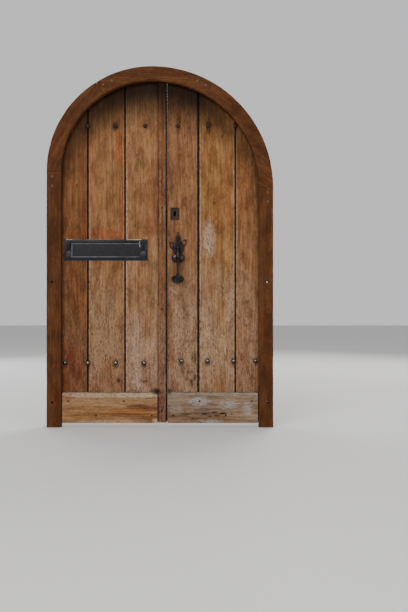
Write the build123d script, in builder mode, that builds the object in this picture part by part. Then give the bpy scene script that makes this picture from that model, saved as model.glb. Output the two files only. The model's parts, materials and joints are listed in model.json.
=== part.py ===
"""Arched double door of boarded wood in its rebated frame.

Seen from outside: X runs to the right, +Y goes into the house and +Z is up. The origin is in the
middle of the doorway at the feet of the jambs, and y = 0 is the inner face of the boards and frame.
All sizes are in millimetres and degrees.
"""
import os
from math import asin, cos, degrees, radians, sin, sqrt

from build123d import *

os.makedirs("parts", exist_ok=True)

# Doorway: two quarter circles of unequal radius meet at a crown left of the middle
clear_half_width = 475
crown_height = 1667
crown_x = -38

# Turns about the arch's centre, anticlockwise from level on the right
top_turn = 90
left_turn = 180

# Frame
frame_face = 70
frame_depth = 55
frame_chamfer = 6
frame_lap = 90
frame_peg_radius = 6
lap_peg_shares = (0.25, 0.75)
left_joint_angle = 122
right_joint_angle = 60
wall_hole_radius = 5.5
wall_hole_low_z = 120
wall_hole_spacing_z = 580
wall_hole_inset = 43

# Boards and the gaps round them
board_thickness = 27
lip_gap = 2.5
leaf_cover = 12
leaf_side_gap = 3
leaf_foot = 20
arris = 1.5
tongue_reach = 8
tongue_thickness = 8.6
groove_clearance = 0.2
groove_spare = 1
left_leaf_edge = 28
meeting_gap = 6
meeting_bevel = 2.2

# Each joint between boards: its share of the way from the doorway's side to the meeting edge,
# and the gap in front
left_joints = [(0.2465, 6), (0.6044, 6)]
right_joints = [(0.6587, 9), (0.2528, 6)]

# Cover strip and kick rails on the outside
strip_width = 38
strip_thickness = 14
strip_top_gap = 3
strip_round = 4
strip_nail_low = 80
strip_nail_drop = 120
strip_nail_count = 4
rail_thickness = 22
rail_height = 147
rail_bevel = 9
rail_end_gap = 3
rail_edge_inset = 2.5
rail_nail_inset = 30
rail_nail_low = 37
rail_nail_drop = 41
rail_nail_count = 4

# Ledges on the inside
ledge_thickness = 27
ledge_height = 110
mid_ledge_height = 130
ledge_chamfer = 7
ledge_hinge_inset = 13
ledge_meeting_inset = 14
left_low_z = 308
right_low_z = 318
mid_z = 1032
top_ledge_drop = 16.3

# Strap hinges and the pintles that they hang on
axis_offset = 3
strap_thickness = 6
strap_height = 40
strap_neck = 24
strap_taper_start = 80
strap_tip_radius = 17
strap_tip_shoulder = 15
strap_tip_point = 34
left_low_strap_stop = 73
left_mid_strap_stop = 138
right_low_strap_stop = 31
right_mid_strap_stop = 156
mid_strap_screw_inset = 40
mid_strap_screw_count = 4
pin_radius = 6
pin_stand = 2
eye_clearance = 0.1
pintle_plate = 6
pintle_plate_width = 40
pintle_plate_above = 26
pintle_plate_below = 92
pintle_arm_height = 19
pintle_arm_gap = 0.4
pintle_boss_radius = 11
pintle_screw_low = 14
pintle_screw_high = 12

# Dome bolts through boards, ledges and straps, by the same shares
dome_radius = 10
dome_height = 6
bolt_radius = 5
bolt_clearance = 0.3
washer_radius = 11
washer_thickness = 2
nut_width = 16
nut_thickness = 8
bolt_stand = 2
left_low_shares = [0.0278, 0.2465, 0.5149, 0.7873]
right_low_shares = [0.8458, 0.5578, 0.2721, 0.0317]
left_top_shares = [0.2465, 0.5129, 0.7972]
right_top_shares = [0.8821, 0.5510, 0.2528]

# Round-headed screws and rose-headed nails
screw_radius = 2.4
screw_head_radius = 4.8
screw_head_height = 3
screw_length = 24
screw_fit = 0.1
nail_radius = 2
nail_head_radius = 4.5
nail_head_flat = 2.2
nail_head_height = 2.2
nail_point = 6
nail_bite = 14

# Letter plate
letter_side_gap = 10
letter_z = 855.5
letter_width = 404
letter_height = 103
letter_thickness = 3
letter_chamfer = 1.5
slot_height = 40
flap_width = 332
flap_side_cover = 8
flap_thickness = 3
flap_barrel_radius = 4.5
flap_axis_z = 892.5
flap_foot_z = 822
flap_lip_radius = 3
flap_pin_radius = 2
flap_gap = 0.4
lug_thickness = 5
letter_screw_shoulder = 3.8
letter_screw_rim = 1.8
letter_nut_thickness = 5
letter_screw_stand = 1
inner_plate_height = 84
inner_plate_thickness = 2

# Keyhole plate
key_inset = 36.6
plate_width = 42
plate_height = 57
plate_thickness = 3.2
plate_rim = 4
plate_sink = 1.2
plate_pin_inset = 7.5
plate_pin_radius = 1
plate_pin_head_radius = 2
plate_pin_head = 1
key_radius = 6.5
key_slot_width = 10.4
key_height = 25

# Knocker
knocker_inset = 52
knocker_pivot_z = 868
knocker_plate_thickness = 5
leaf_half_breadth = 28
leaf_above = 76
leaf_below = 40
leaf_rise = 1.6
leaf_inner_share = 0.7
boss_half_width = 32
boss_half_height = 21
boss_drop = 51
boss_round = 20
boss_rise = 7
boss_levels = [(0, 0.9), (0.6, 0.72), (1, 0.4)]
scroll_width = 5
scroll_reach = 39
scroll_height = 37
left_scroll_rise = 8
right_scroll_rise = 20
ear_gap = 0.4
ear_thickness = 4.5
ear_radius = 7.6
barrel_radius = 7.6
barrel_width = 18
knocker_pin_radius = 3
pivot_stand = 12
hammer_stand = 24
rod_radius = 6.5
rod_head = 2
rod_shoulder = 14
rod_swell = 2.5
swell_rise = 8
swell_drop = 16
striker_drop = 154
striker_thickness = 17
lobe_radius = 16
lobe_spread = 14.5
lobe_eye_radius = 6.4
lobe_eye_depth = 2.5
striker_tip_radius = 11
stud_radius = 8
stud_chamfer = 2
knocker_bolt_rise = 38
knocker_bolt_drop = 20
knocker_bolt_stand = 2
knocker_bolt_radius = 3
knocker_nut_radius = 7
knocker_nut_thickness = 6

# Rim lock
case_width = 110
case_height = 90
case_depth = 31
case_wall = 2.5
case_edge_inset = 2
case_round = 3
case_screw_inset = 18
case_tab_inset = 6
tab_reach = 11
tab_thickness = 3
bolt_bar_height = 18
bolt_bar_depth = 10
bolt_bar_rise = 23
bolt_bar_inset = 1
bolt_bar_end = 14
bolt_bar_chamfer = 1.5
bolt_way_end = 12
bolt_travel = 22
bridge_start = 24
bridge_width = 6
bridge_wall = 4
knob_inset = 76
knob_way_gap = 1
knob_stand = 3
knob_radius = 4
ball_radius = 8.5
slide_gap = 0.3

# Keeper of the lock on the left leaf
keeper_edge_inset = 1
keeper_reach = 52
keeper_height = 40
keeper_box_inset = 22
keeper_box_wall = 5
keeper_bolt_gap = 1
keeper_screw_inset = 10
keeper_screw_spread = 12

# Slide bolts on the left leaf and the keeper on the head of the frame
slide_inset = 34
slide_bar = 12
slide_bar_chamfer = 1.5
slide_plate_width = 40
slide_plate_thickness = 3
slide_plate_gap = 14
slide_plate_top_gap = 10
slide_plate_foot_gap = 12
slide_screw_inset = 34
slide_screw_side = 1
loop_wall = 4
loop_height = 16
loop_inset = 4
loop_knob_gap = 12
top_rod_stand = 6
foot_rod_gap = 2
head_keeper_gap = 5
head_keeper_height = 40
head_loop_height = 24
head_screw_rise = 8
head_keeper_play = 1
head_keeper_back = 0.5

# Worked-out places
left_radius = clear_half_width + crown_x
right_radius = clear_half_width - crown_x
left_spring = crown_height - left_radius
right_spring = crown_height - right_radius
rebate = leaf_cover + leaf_side_gap
rebate_depth = board_thickness + lip_gap
right_leaf_edge = left_leaf_edge + meeting_gap
left_span = clear_half_width + left_leaf_edge
right_span = clear_half_width - right_leaf_edge
left_board_joints = [(left_span * share - clear_half_width, gap) for share, gap in left_joints]
right_board_joints = [(clear_half_width - right_span * share, gap) for share, gap in right_joints]
left_low_bolts = [left_span * share - clear_half_width for share in left_low_shares]
right_low_bolts = [clear_half_width - right_span * share for share in right_low_shares]
left_top_bolts = [left_span * share - clear_half_width for share in left_top_shares]
right_top_bolts = [clear_half_width - right_span * share for share in right_top_shares]
outer_joint_x = right_board_joints[-1][0]
outer_joint_top = right_spring + sqrt(right_radius**2 - (outer_joint_x - crown_x) ** 2)
top_z = outer_joint_top - top_ledge_drop
front_y = -board_thickness
ledge_y = ledge_thickness
strap_y = ledge_y + strap_thickness
leaf_half_width = clear_half_width + leaf_cover
axis_x = leaf_half_width + axis_offset
left_low_strap_reach = axis_x + left_leaf_edge - left_low_strap_stop
left_mid_strap_reach = axis_x + left_leaf_edge - left_mid_strap_stop
right_low_strap_reach = axis_x - right_leaf_edge - right_low_strap_stop
right_mid_strap_reach = axis_x - right_leaf_edge - right_mid_strap_stop
eye_radius = pin_radius + eye_clearance
eye_outer_radius = eye_radius + strap_thickness
axis_y = strap_y - eye_outer_radius
letter_x = letter_side_gap + letter_width / 2 - clear_half_width
letter_screw_inset = (letter_width - flap_width) / 4
slot_width = flap_width - 2 * flap_side_cover
inner_plate_width = letter_width - letter_screw_inset * 2 / 3
key_x = right_leaf_edge + key_inset
knocker_x = right_leaf_edge + knocker_inset
boss_z = knocker_pivot_z - boss_drop
striker_z = knocker_pivot_z - striker_drop
slide_x = left_leaf_edge - slide_inset
slide_y = slide_plate_thickness + slide_gap + slide_bar / 2
head_line = right_spring + sqrt((right_radius + rebate) ** 2 - (slide_x - crown_x) ** 2)
head_keeper_low = head_line + head_keeper_gap
head_keeper_high = head_keeper_low + head_keeper_height
keeper_loop_high = head_keeper_low + head_loop_height
slide_screw_x = slide_plate_width / 2 - screw_head_radius - slide_screw_side
head_keeper_screws = [
    (slide_x + side * slide_screw_x, keeper_loop_high + head_screw_rise) for side in (-1, 1)
]
hinges = {
    "left_low": (-1, left_low_z, left_low_strap_reach),
    "left_mid": (-1, mid_z, left_mid_strap_reach),
    "right_low": (1, right_low_z, right_low_strap_reach),
    "right_mid": (1, mid_z, right_mid_strap_reach),
}


def wall_plane(y):
    """A plane across the doorway at depth y, whose sketches extrude towards the outside."""
    return Plane(origin=(0, y, 0), x_dir=(1, 0, 0), z_dir=(0, -1, 0))


def pintle_screws(side, z):
    """Screw places in a pintle's plate."""
    x = side * (clear_half_width + frame_face - pintle_plate_width / 2)
    low = z - pintle_plate_below + pintle_screw_low
    high = z + pintle_plate_above - pintle_screw_high
    return [(x, low), (x, high)]


def cap_middle(radius, height):
    """The point halfway along a round cap, from its rim to its top, as (radius, height)."""
    ball = (radius**2 + height**2) / (2 * height)
    half_turn = asin(radius / ball) / 2
    return ball * sin(half_turn), ball * cos(half_turn) - (ball - height)


def save(part, name):
    """Label a finished piece and write it as one STEP file."""
    part.label = name
    export_step(part, f"parts/{name}.step")


def doorway(grow, foot):
    """The doorway's outline, grown outwards by a distance, as a face seen from outside."""
    with BuildSketch(Plane.XY) as face:
        with BuildLine():
            left_arc = CenterArc((crown_x, left_spring), left_radius + grow, left_turn, -top_turn)
            right_arc = CenterArc((crown_x, right_spring), right_radius + grow, top_turn, -top_turn)
            left_foot = (-clear_half_width - grow, foot)
            right_foot = (clear_half_width + grow, foot)
            Line(left_arc @ 0, left_foot)
            Line(left_foot, right_foot)
            Line(right_foot, right_arc @ 1)
        make_face()
    return face.sketch


def box_between(low, high):
    """A plain block between two corners, for cuts and simple plates."""
    with BuildPart() as block:
        with Locations(tuple((a + b) / 2 for a, b in zip(low, high))):
            Box(*[b - a for a, b in zip(low, high)])
    return block.part


def rod_along_y(points, radius, start, end):
    """Round bars along Y at several places (x, z), for shanks and for the holes that take them."""
    with BuildPart() as rods:
        with BuildSketch(wall_plane(end)):
            with Locations(*points):
                Circle(radius)
        extrude(amount=end - start)
    return rods.part


# Frame: jambs, a head in three curved pieces, and pegs through their laps
def curved_face(spring, radius, inner, start, sweep):
    """One curved stretch of the frame, from an offset of the opening to its outer edge."""
    with BuildSketch(Plane.XY) as face:
        with BuildLine():
            inside = CenterArc((crown_x, spring), radius + inner, start, sweep)
            outside = CenterArc((crown_x, spring), radius + frame_face, start, sweep)
            Line(inside @ 0, outside @ 0)
            Line(inside @ 1, outside @ 1)
        make_face()
    return face.sketch


def straight_face(side, inner, bottom, top):
    """One upright stretch of the frame."""
    with BuildSketch(Plane.XY) as face:
        with Locations((side * (clear_half_width + (inner + frame_face) / 2), (bottom + top) / 2)):
            Rectangle(frame_face - inner, top - bottom)
    return face.sketch


def frame_piece(lip_faces, rebate_faces, holes):
    """A piece of the frame: the lip that stands in front of the leaf, and the part behind it."""
    with BuildPart() as piece:
        with BuildSketch(wall_plane(-rebate_depth)):
            add(lip_faces)
        extrude(amount=frame_depth - rebate_depth)
        edge_arris = [
            edge
            for edge in piece.faces().sort_by(Axis.Y)[0].edges()
            if inside_edge(edge)
        ]
        chamfer(edge_arris, frame_chamfer)
        with BuildSketch(wall_plane(0)):
            add(rebate_faces)
        extrude(amount=rebate_depth)
        for points, radius, depth in holes:
            add(rod_along_y(points, radius, -depth, 0), mode=Mode.SUBTRACT)
    return piece.part


def inside_edge(edge):
    """True for an edge that lies on the outline of the clear opening."""
    middle = edge @ 0.5
    if edge.geom_type == GeomType.CIRCLE:
        return min(abs(edge.radius - left_radius), abs(edge.radius - right_radius)) < 0.01
    upright = abs((edge % 0.5).Z) > 0.99
    return upright and abs(abs(middle.X) - clear_half_width) < 0.01


def lap_angle(radius):
    """The turn that a lap takes along the middle of the frame's rebated part."""
    return degrees(frame_lap / (radius + (rebate + frame_face) / 2))


def curved_pegs(spring, radius, start, turn):
    """Two peg places in a lap of the head."""
    reach = radius + (rebate + frame_face) / 2
    places = []
    for share in lap_peg_shares:
        angle = radians(start + turn * share)
        places.append((crown_x + reach * cos(angle), spring + reach * sin(angle)))
    return places


def jamb_pegs(side, spring):
    """Two peg places in the lap between a jamb and the head."""
    x = side * (clear_half_width + (rebate + frame_face) / 2)
    return [(x, spring - frame_lap * share) for share in lap_peg_shares]


left_lap_angle = lap_angle(left_radius)
right_lap_angle = lap_angle(right_radius)
peg_places = {
    "left_foot": jamb_pegs(-1, left_spring),
    "left": curved_pegs(left_spring, left_radius, left_joint_angle, -left_lap_angle),
    "right": curved_pegs(right_spring, right_radius, right_joint_angle, right_lap_angle),
    "right_foot": jamb_pegs(1, right_spring),
}


def holes_of(*laps):
    """The peg holes of the named laps."""
    return [(peg_places[lap], frame_peg_radius, frame_depth) for lap in laps]


def hinge_holes(side):
    """The screw holes of one side's pintles, for each piece of the frame that they may reach."""
    places = [place for on, z, _ in hinges.values() if on == side for place in pintle_screws(on, z)]
    return [(places, screw_radius + screw_fit, screw_length - pintle_plate)]


for name, side, spring, lap in (
    ("jamb_left", -1, left_spring, "left_foot"),
    ("jamb_right", 1, right_spring, "right_foot"),
):
    wall_hole_x = side * (clear_half_width + wall_hole_inset)
    wall_hole_high_z = wall_hole_low_z + wall_hole_spacing_z
    wall_holes = [(wall_hole_x, wall_hole_low_z), (wall_hole_x, wall_hole_high_z)]
    jamb = frame_piece(
        [straight_face(side, 0, 0, spring)],
        [straight_face(side, rebate, 0, spring - frame_lap)],
        holes_of(lap) + hinge_holes(side) + [(wall_holes, wall_hole_radius, frame_depth)],
    )
    save(jamb, name)

left_back_end = left_joint_angle - left_lap_angle
right_back_end = right_joint_angle + right_lap_angle
head_left = frame_piece(
    [curved_face(left_spring, left_radius, 0, left_turn, left_joint_angle - left_turn)],
    [
        straight_face(-1, rebate, left_spring - frame_lap, left_spring),
        curved_face(left_spring, left_radius, rebate, left_turn, left_back_end - left_turn),
    ],
    holes_of("left_foot", "left") + hinge_holes(-1),
)
save(head_left, "head_left")
head_right = frame_piece(
    [curved_face(right_spring, right_radius, 0, 0, right_joint_angle)],
    [
        straight_face(1, rebate, right_spring - frame_lap, right_spring),
        curved_face(right_spring, right_radius, rebate, 0, right_back_end),
    ],
    holes_of("right_foot", "right") + hinge_holes(1),
)
save(head_right, "head_right")
head_crown = frame_piece(
    [
        curved_face(left_spring, left_radius, 0, left_joint_angle, top_turn - left_joint_angle),
        curved_face(right_spring, right_radius, 0, top_turn, right_joint_angle - top_turn),
    ],
    [
        curved_face(left_spring, left_radius, rebate, left_back_end, top_turn - left_back_end),
        curved_face(right_spring, right_radius, rebate, top_turn, right_back_end - top_turn),
    ],
    holes_of("left", "right") + [
        (head_keeper_screws, screw_radius + screw_fit, screw_length - slide_plate_thickness),
    ],
)
save(head_crown, "head_crown")
all_pegs = [place for places in peg_places.values() for place in places]
save(rod_along_y(all_pegs, frame_peg_radius, -frame_depth, 0), "frame_pegs")


# Screws and nails, each made once and set out in groups
with BuildPart() as screw:
    with BuildSketch(Plane.XY):
        with BuildLine():
            Polyline(
                (0, screw_length),
                (screw_radius, screw_length - 2 * screw_radius),
                (screw_radius, 0),
                (screw_head_radius, 0),
            )
            rim, rise = cap_middle(screw_head_radius, screw_head_height)
            ThreePointArc((screw_head_radius, 0), (rim, -rise), (0, -screw_head_height))
            Line((0, -screw_head_height), (0, screw_length))
        make_face()
    revolve(axis=Axis.Y)

with BuildPart() as nail:
    with BuildSketch(Plane.XY):
        with BuildLine():
            Polyline(
                (0, rail_thickness + nail_bite),
                (nail_radius, rail_thickness + nail_bite - nail_point),
                (nail_radius, 0),
                (nail_head_radius, 0),
                (nail_head_flat, -nail_head_height),
                (0, -nail_head_height),
                close=True,
            )
        make_face()
    revolve(axis=Axis.Y)


def group(piece, places):
    """Copies of one fastener at several places, as separate solids of one node."""
    with BuildPart() as copies:
        with Locations(*places):
            add(piece)
    return copies.part


def screws_from_inside(points, y):
    """Screws whose heads bear on a face that looks into the house at depth y."""
    return group(screw.part.rotate(Axis.Z, 180), [(x, y, z) for x, z in points])


# Straps: a rolled eye, a tapered bar and a pointed round tip
def strap_outline(side, z, reach):
    """The strap as seen from inside, from the hinge axis to the tip."""
    hinge_x = side * axis_x
    tip_x = side * (axis_x - reach)
    root_x = hinge_x + side * eye_outer_radius
    with BuildSketch(Plane.XY) as face:
        with BuildLine():
            Polyline(
                (root_x, z - strap_height / 2),
                (hinge_x - side * strap_taper_start, z - strap_height / 2),
                (tip_x, z - strap_neck / 2),
                (tip_x, z + strap_neck / 2),
                (hinge_x - side * strap_taper_start, z + strap_height / 2),
                (root_x, z + strap_height / 2),
                close=True,
            )
        make_face()
        with Locations((tip_x, z)):
            Circle(strap_tip_radius)
        with BuildLine():
            Polyline(
                (tip_x, z + strap_tip_shoulder),
                (tip_x - side * strap_tip_point, z),
                (tip_x, z - strap_tip_shoulder),
                close=True,
            )
        make_face()
    return face.sketch


def strap(side, z, reach, holes, hole_radius):
    """A strap hinge with its eye rolled back towards the frame."""
    hinge_x = side * axis_x
    tip_x = side * (axis_x - reach - strap_tip_point - strap_tip_radius)
    with BuildPart() as bar:
        with BuildSketch(Plane.XY.offset(z - strap_height / 2)):
            with Locations((hinge_x, axis_y)):
                Circle(eye_outer_radius)
            with Locations(((hinge_x + tip_x) / 2, (ledge_y + strap_y) / 2)):
                Rectangle(abs(hinge_x - tip_x), strap_thickness)
            with Locations((hinge_x, axis_y)):
                Circle(eye_radius, mode=Mode.SUBTRACT)
        extrude(amount=strap_height)
        with BuildSketch(wall_plane(strap_y)):
            add(strap_outline(side, z, reach))
        extrude(amount=strap_y, mode=Mode.INTERSECT)
        add(rod_along_y(holes, hole_radius, ledge_y, strap_y), mode=Mode.SUBTRACT)
    return bar.part


def pintle(side, z):
    """A pin on an arm and a back plate, screwed to the jamb's inner face."""
    hinge_x = side * axis_x
    arm_top = z - strap_height / 2 - pintle_arm_gap
    plate_x = side * (clear_half_width + frame_face - pintle_plate_width / 2)
    root = Vector(plate_x, pintle_plate)
    reach = Vector(hinge_x, axis_y) - root
    across = reach.rotate(Axis.Z, 90).normalized()
    with BuildPart() as iron:
        add(box_between(
            (plate_x - pintle_plate_width / 2, 0, z - pintle_plate_below),
            (plate_x + pintle_plate_width / 2, pintle_plate, z + pintle_plate_above),
        ))
        with BuildSketch(Plane.XY.offset(arm_top - pintle_arm_height)):
            with Locations((hinge_x, axis_y)):
                Circle(pintle_boss_radius)
            with BuildLine():
                Polyline(
                    root + across * pintle_boss_radius,
                    root - across * pintle_boss_radius,
                    root + reach - across * pintle_boss_radius,
                    root + reach + across * pintle_boss_radius,
                    close=True,
                )
            make_face()
            with Locations((plate_x, -pintle_boss_radius)):
                Rectangle(4 * pintle_plate_width, 2 * pintle_boss_radius, mode=Mode.SUBTRACT)
        extrude(amount=pintle_arm_height)
        with BuildSketch(Plane.XY.offset(arm_top)):
            with Locations((hinge_x, axis_y)):
                Circle(pin_radius)
        extrude(amount=strap_height + pintle_arm_gap + pin_stand)
        add(
            rod_along_y(pintle_screws(side, z), screw_radius + screw_fit, 0, pintle_plate),
            mode=Mode.SUBTRACT,
        )
    return iron.part


def mid_strap_screws(side, reach):
    """Screw places along a strap that has no dome bolts."""
    first = axis_x - mid_strap_screw_inset
    pitch = (reach - mid_strap_screw_inset) / (mid_strap_screw_count - 1)
    return [(side * (first - pitch * step), mid_z) for step in range(mid_strap_screw_count)]


low_strap_bolts = {
    -1: [(x, left_low_z) for x in left_low_bolts],
    1: [(x, right_low_z) for x in right_low_bolts],
}
top_bolts = {
    -1: [(x, top_z) for x in left_top_bolts],
    1: [(x, top_z) for x in right_top_bolts],
}
for name, (side, z, reach) in hinges.items():
    save(pintle(side, z), f"pintle_{name}")
    side_name, level = name.split("_")
    if level == "low":
        holes = low_strap_bolts[side]
        hole_radius = bolt_radius + bolt_clearance
    else:
        holes = mid_strap_screws(side, reach)
        hole_radius = screw_radius + screw_fit
    save(strap(side, z, reach, holes, hole_radius), f"{side_name}_strap_{level}")
mid_strap_places = {
    -1: mid_strap_screws(-1, left_mid_strap_reach),
    1: mid_strap_screws(1, right_mid_strap_reach),
}


# Dome bolts, washers and square nuts
def dome_bolt(length):
    """A dome-headed bolt along Y whose head bears at y = 0."""
    with BuildPart() as bolt:
        with BuildSketch(Plane.XY):
            with BuildLine():
                Polyline((0, length), (bolt_radius, length), (bolt_radius, 0), (dome_radius, 0))
                rim, rise = cap_middle(dome_radius, dome_height)
                ThreePointArc((dome_radius, 0), (rim, -rise), (0, -dome_height))
                Line((0, -dome_height), (0, length))
            make_face()
        revolve(axis=Axis.Y)
    return bolt.part


def washers_and_nuts(places, y):
    """A washer and a square nut on each bolt, bearing at depth y."""
    washers = rod_along_y(places, washer_radius, y, y + washer_thickness)
    nut_y = y + washer_thickness
    with BuildPart() as nuts:
        with BuildSketch(wall_plane(nut_y + nut_thickness)):
            with Locations(*places):
                Rectangle(nut_width, nut_width)
        extrude(amount=nut_thickness)
    shanks = rod_along_y(places, bolt_radius, y, nut_y + nut_thickness)
    return [solid for group in (washers - shanks, nuts.part - shanks) for solid in group.solids()]


def bolt_groups(side):
    """The bolts of one leaf, and their washers and nuts."""
    low, top = low_strap_bolts[side], top_bolts[side]
    stack = washer_thickness + nut_thickness + bolt_stand
    low_length = board_thickness + strap_y + stack
    top_length = board_thickness + ledge_y + stack
    with BuildPart() as bolts:
        with Locations(*[(x, front_y, z) for x, z in low]):
            add(dome_bolt(low_length))
        with Locations(*[(x, front_y, z) for x, z in top]):
            add(dome_bolt(top_length))
    return bolts.part, washers_and_nuts(low, strap_y) + washers_and_nuts(top, ledge_y)


# Letter plate, its slot, flap, pin, inner plate and screws
flap_axis_y = front_y - letter_thickness - flap_gap - flap_barrel_radius
slot = box_between(
    (letter_x - slot_width / 2, front_y - letter_thickness, letter_z - slot_height / 2),
    (letter_x + slot_width / 2, inner_plate_thickness, letter_z + slot_height / 2),
)
letter_screw_places = [
    (letter_x + side * (letter_width / 2 - letter_screw_inset), letter_z) for side in (-1, 1)
]
lug_places = [
    letter_x + side * (flap_width / 2 + lug_thickness / 2) - lug_thickness / 2 for side in (-1, 1)
]
with BuildPart() as letter_plate:
    with BuildSketch(wall_plane(front_y)):
        with Locations((letter_x, letter_z)):
            Rectangle(letter_width, letter_height)
    extrude(amount=letter_thickness)
    chamfer(letter_plate.faces().sort_by(Axis.Y)[0].edges(), letter_chamfer)
    for x in lug_places:
        with BuildSketch(Plane.YZ.offset(x)):
            with Locations((flap_axis_y, flap_axis_z)):
                Circle(flap_barrel_radius)
            lug_root = front_y - letter_thickness / 2
            with Locations(((flap_axis_y + lug_root) / 2, flap_axis_z)):
                Rectangle(lug_root - flap_axis_y, 2 * flap_barrel_radius)
            with Locations((flap_axis_y, flap_axis_z)):
                Circle(flap_pin_radius, mode=Mode.SUBTRACT)
        extrude(amount=lug_thickness)
    add(slot, mode=Mode.SUBTRACT)
    add(
        rod_along_y(
            letter_screw_places, screw_radius + screw_fit, front_y - letter_thickness, front_y
        ),
        mode=Mode.SUBTRACT,
    )
save(letter_plate.part, "letter_plate")

flap_back = front_y - letter_thickness - flap_gap
with BuildPart() as letter_flap:
    with BuildSketch(Plane.YZ.offset(letter_x - flap_width / 2 + flap_gap)):
        with Locations((flap_axis_y, flap_axis_z)):
            Circle(flap_barrel_radius)
        with Locations((flap_back - flap_thickness / 2, (flap_axis_z + flap_foot_z) / 2)):
            Rectangle(flap_thickness, flap_axis_z - flap_foot_z)
        with Locations((flap_back - flap_lip_radius, flap_foot_z)):
            Circle(flap_lip_radius)
        with Locations((flap_axis_y, flap_axis_z)):
            Circle(flap_pin_radius + eye_clearance, mode=Mode.SUBTRACT)
    extrude(amount=flap_width - 2 * flap_gap)
save(letter_flap.part, "letter_flap")

pin_reach = flap_width / 2 + lug_thickness
with BuildPart() as letter_flap_pin:
    with BuildSketch(Plane.YZ.offset(letter_x - pin_reach)):
        with Locations((flap_axis_y, flap_axis_z)):
            Circle(flap_pin_radius)
    extrude(amount=2 * pin_reach)
save(letter_flap_pin.part, "letter_flap_pin")

with BuildPart() as letter_inner_plate:
    with BuildSketch(wall_plane(inner_plate_thickness)):
        with Locations((letter_x, letter_z)):
            Rectangle(inner_plate_width, inner_plate_height)
    extrude(amount=inner_plate_thickness)
    add(slot, mode=Mode.SUBTRACT)
    add(
        rod_along_y(letter_screw_places, screw_radius + screw_fit, 0, inner_plate_thickness),
        mode=Mode.SUBTRACT,
    )
save(letter_inner_plate.part, "letter_inner_plate")

letter_nut_y = inner_plate_thickness + letter_nut_thickness
letter_screw_length = letter_thickness + board_thickness + letter_nut_y + letter_screw_stand
with BuildPart() as letter_screw:
    with BuildSketch(Plane.XY):
        with BuildLine():
            Polyline(
                (0, letter_screw_length),
                (screw_radius, letter_screw_length),
                (screw_radius, 0),
                (screw_head_radius, 0),
                (letter_screw_shoulder, -letter_screw_rim),
                (0, -screw_head_height),
                close=True,
            )
        make_face()
    revolve(axis=Axis.Y)
letter_nuts = rod_along_y(
    letter_screw_places, screw_head_radius, inner_plate_thickness, letter_nut_y
)
letter_nuts -= rod_along_y(letter_screw_places, screw_radius, inner_plate_thickness, letter_nut_y)
letter_screws = group(
    letter_screw.part, [(x, front_y - letter_thickness, z) for x, z in letter_screw_places]
)
save(Compound(children=letter_screws.solids() + letter_nuts.solids()), "letter_screws")


# Keyhole plate and the keyhole through the leaf
def keyhole(start, end):
    """The cut for the key, a round top over a straight slot."""
    with BuildPart() as cut:
        with BuildSketch(wall_plane(end)):
            with Locations((key_x, mid_z + key_height / 2 - key_radius)):
                Circle(key_radius)
            with Locations((key_x, mid_z - key_radius / 2)):
                Rectangle(key_slot_width, key_height - key_radius)
        extrude(amount=end - start)
    return cut.part


plate_pin_places = [
    (key_x, mid_z + side * (plate_height / 2 - plate_pin_inset)) for side in (-1, 1)
]
with BuildPart() as escutcheon:
    with BuildSketch(wall_plane(front_y)):
        with Locations((key_x, mid_z)):
            RectangleRounded(plate_width, plate_height, plate_rim)
    extrude(amount=plate_thickness)
    with BuildSketch(wall_plane(front_y - plate_thickness)):
        with Locations((key_x, mid_z)):
            RectangleRounded(plate_width - 2 * plate_rim, plate_height - 2 * plate_rim, plate_rim / 2)
    extrude(amount=-plate_sink, mode=Mode.SUBTRACT)
    add(keyhole(front_y - plate_thickness, front_y), mode=Mode.SUBTRACT)
    add(
        rod_along_y(plate_pin_places, plate_pin_radius, front_y - plate_thickness, front_y),
        mode=Mode.SUBTRACT,
    )
save(escutcheon.part, "escutcheon")

pin_bearing = front_y - plate_thickness + plate_sink
plate_pins = rod_along_y(plate_pin_places, plate_pin_radius, pin_bearing, front_y + nail_bite)
plate_pins += rod_along_y(
    plate_pin_places, plate_pin_head_radius, pin_bearing - plate_pin_head, pin_bearing
)
save(plate_pins, "escutcheon_pins")


# Boards, each tongued on its right edge and grooved on its left
def board_section(left, right, left_gap, right_gap):
    """A board seen from above; a gap of 0 means a plain edge without tongue or groove.

    A plain edge at the meeting line slants, so that the leaf is widest at its inner face.
    """
    middle = -board_thickness / 2
    half = tongue_thickness / 2
    back_left = left - meeting_bevel if left == right_leaf_edge else left
    back_right = right + meeting_bevel if right == left_leaf_edge else right
    outline = [(back_left, 0), (back_right, 0)]
    front_left = left + left_gap / 2
    front_right = right - right_gap / 2
    if right_gap:
        outline += [
            (right, middle + half),
            (right + tongue_reach, middle + half),
            (right + tongue_reach, middle - half),
            (front_right, middle - half),
        ]
    outline += [
        (front_right, front_y + arris),
        (front_right - arris, front_y),
        (front_left + arris, front_y),
        (front_left, front_y + arris),
    ]
    if left_gap:
        half += groove_clearance
        depth = tongue_reach + groove_spare
        outline += [
            (front_left, middle - half),
            (left + depth, middle - half),
            (left + depth, middle + half),
            (left, middle + half),
        ]
    return outline


def board(left, right, left_gap, right_gap, cuts):
    """One board, cut to the arch and bored for what passes through it."""
    with BuildPart() as plank:
        with BuildSketch(Plane.XY.offset(leaf_foot)):
            with BuildLine():
                Polyline(*board_section(left, right, left_gap, right_gap), close=True)
            make_face()
        extrude(amount=crown_height)
        with BuildSketch(wall_plane(0)):
            add(doorway(leaf_cover, leaf_foot))
        extrude(amount=board_thickness, mode=Mode.INTERSECT)
        for cut in cuts:
            if (plank.part & cut).solids():
                add(cut, mode=Mode.SUBTRACT)
    return plank.part


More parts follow.
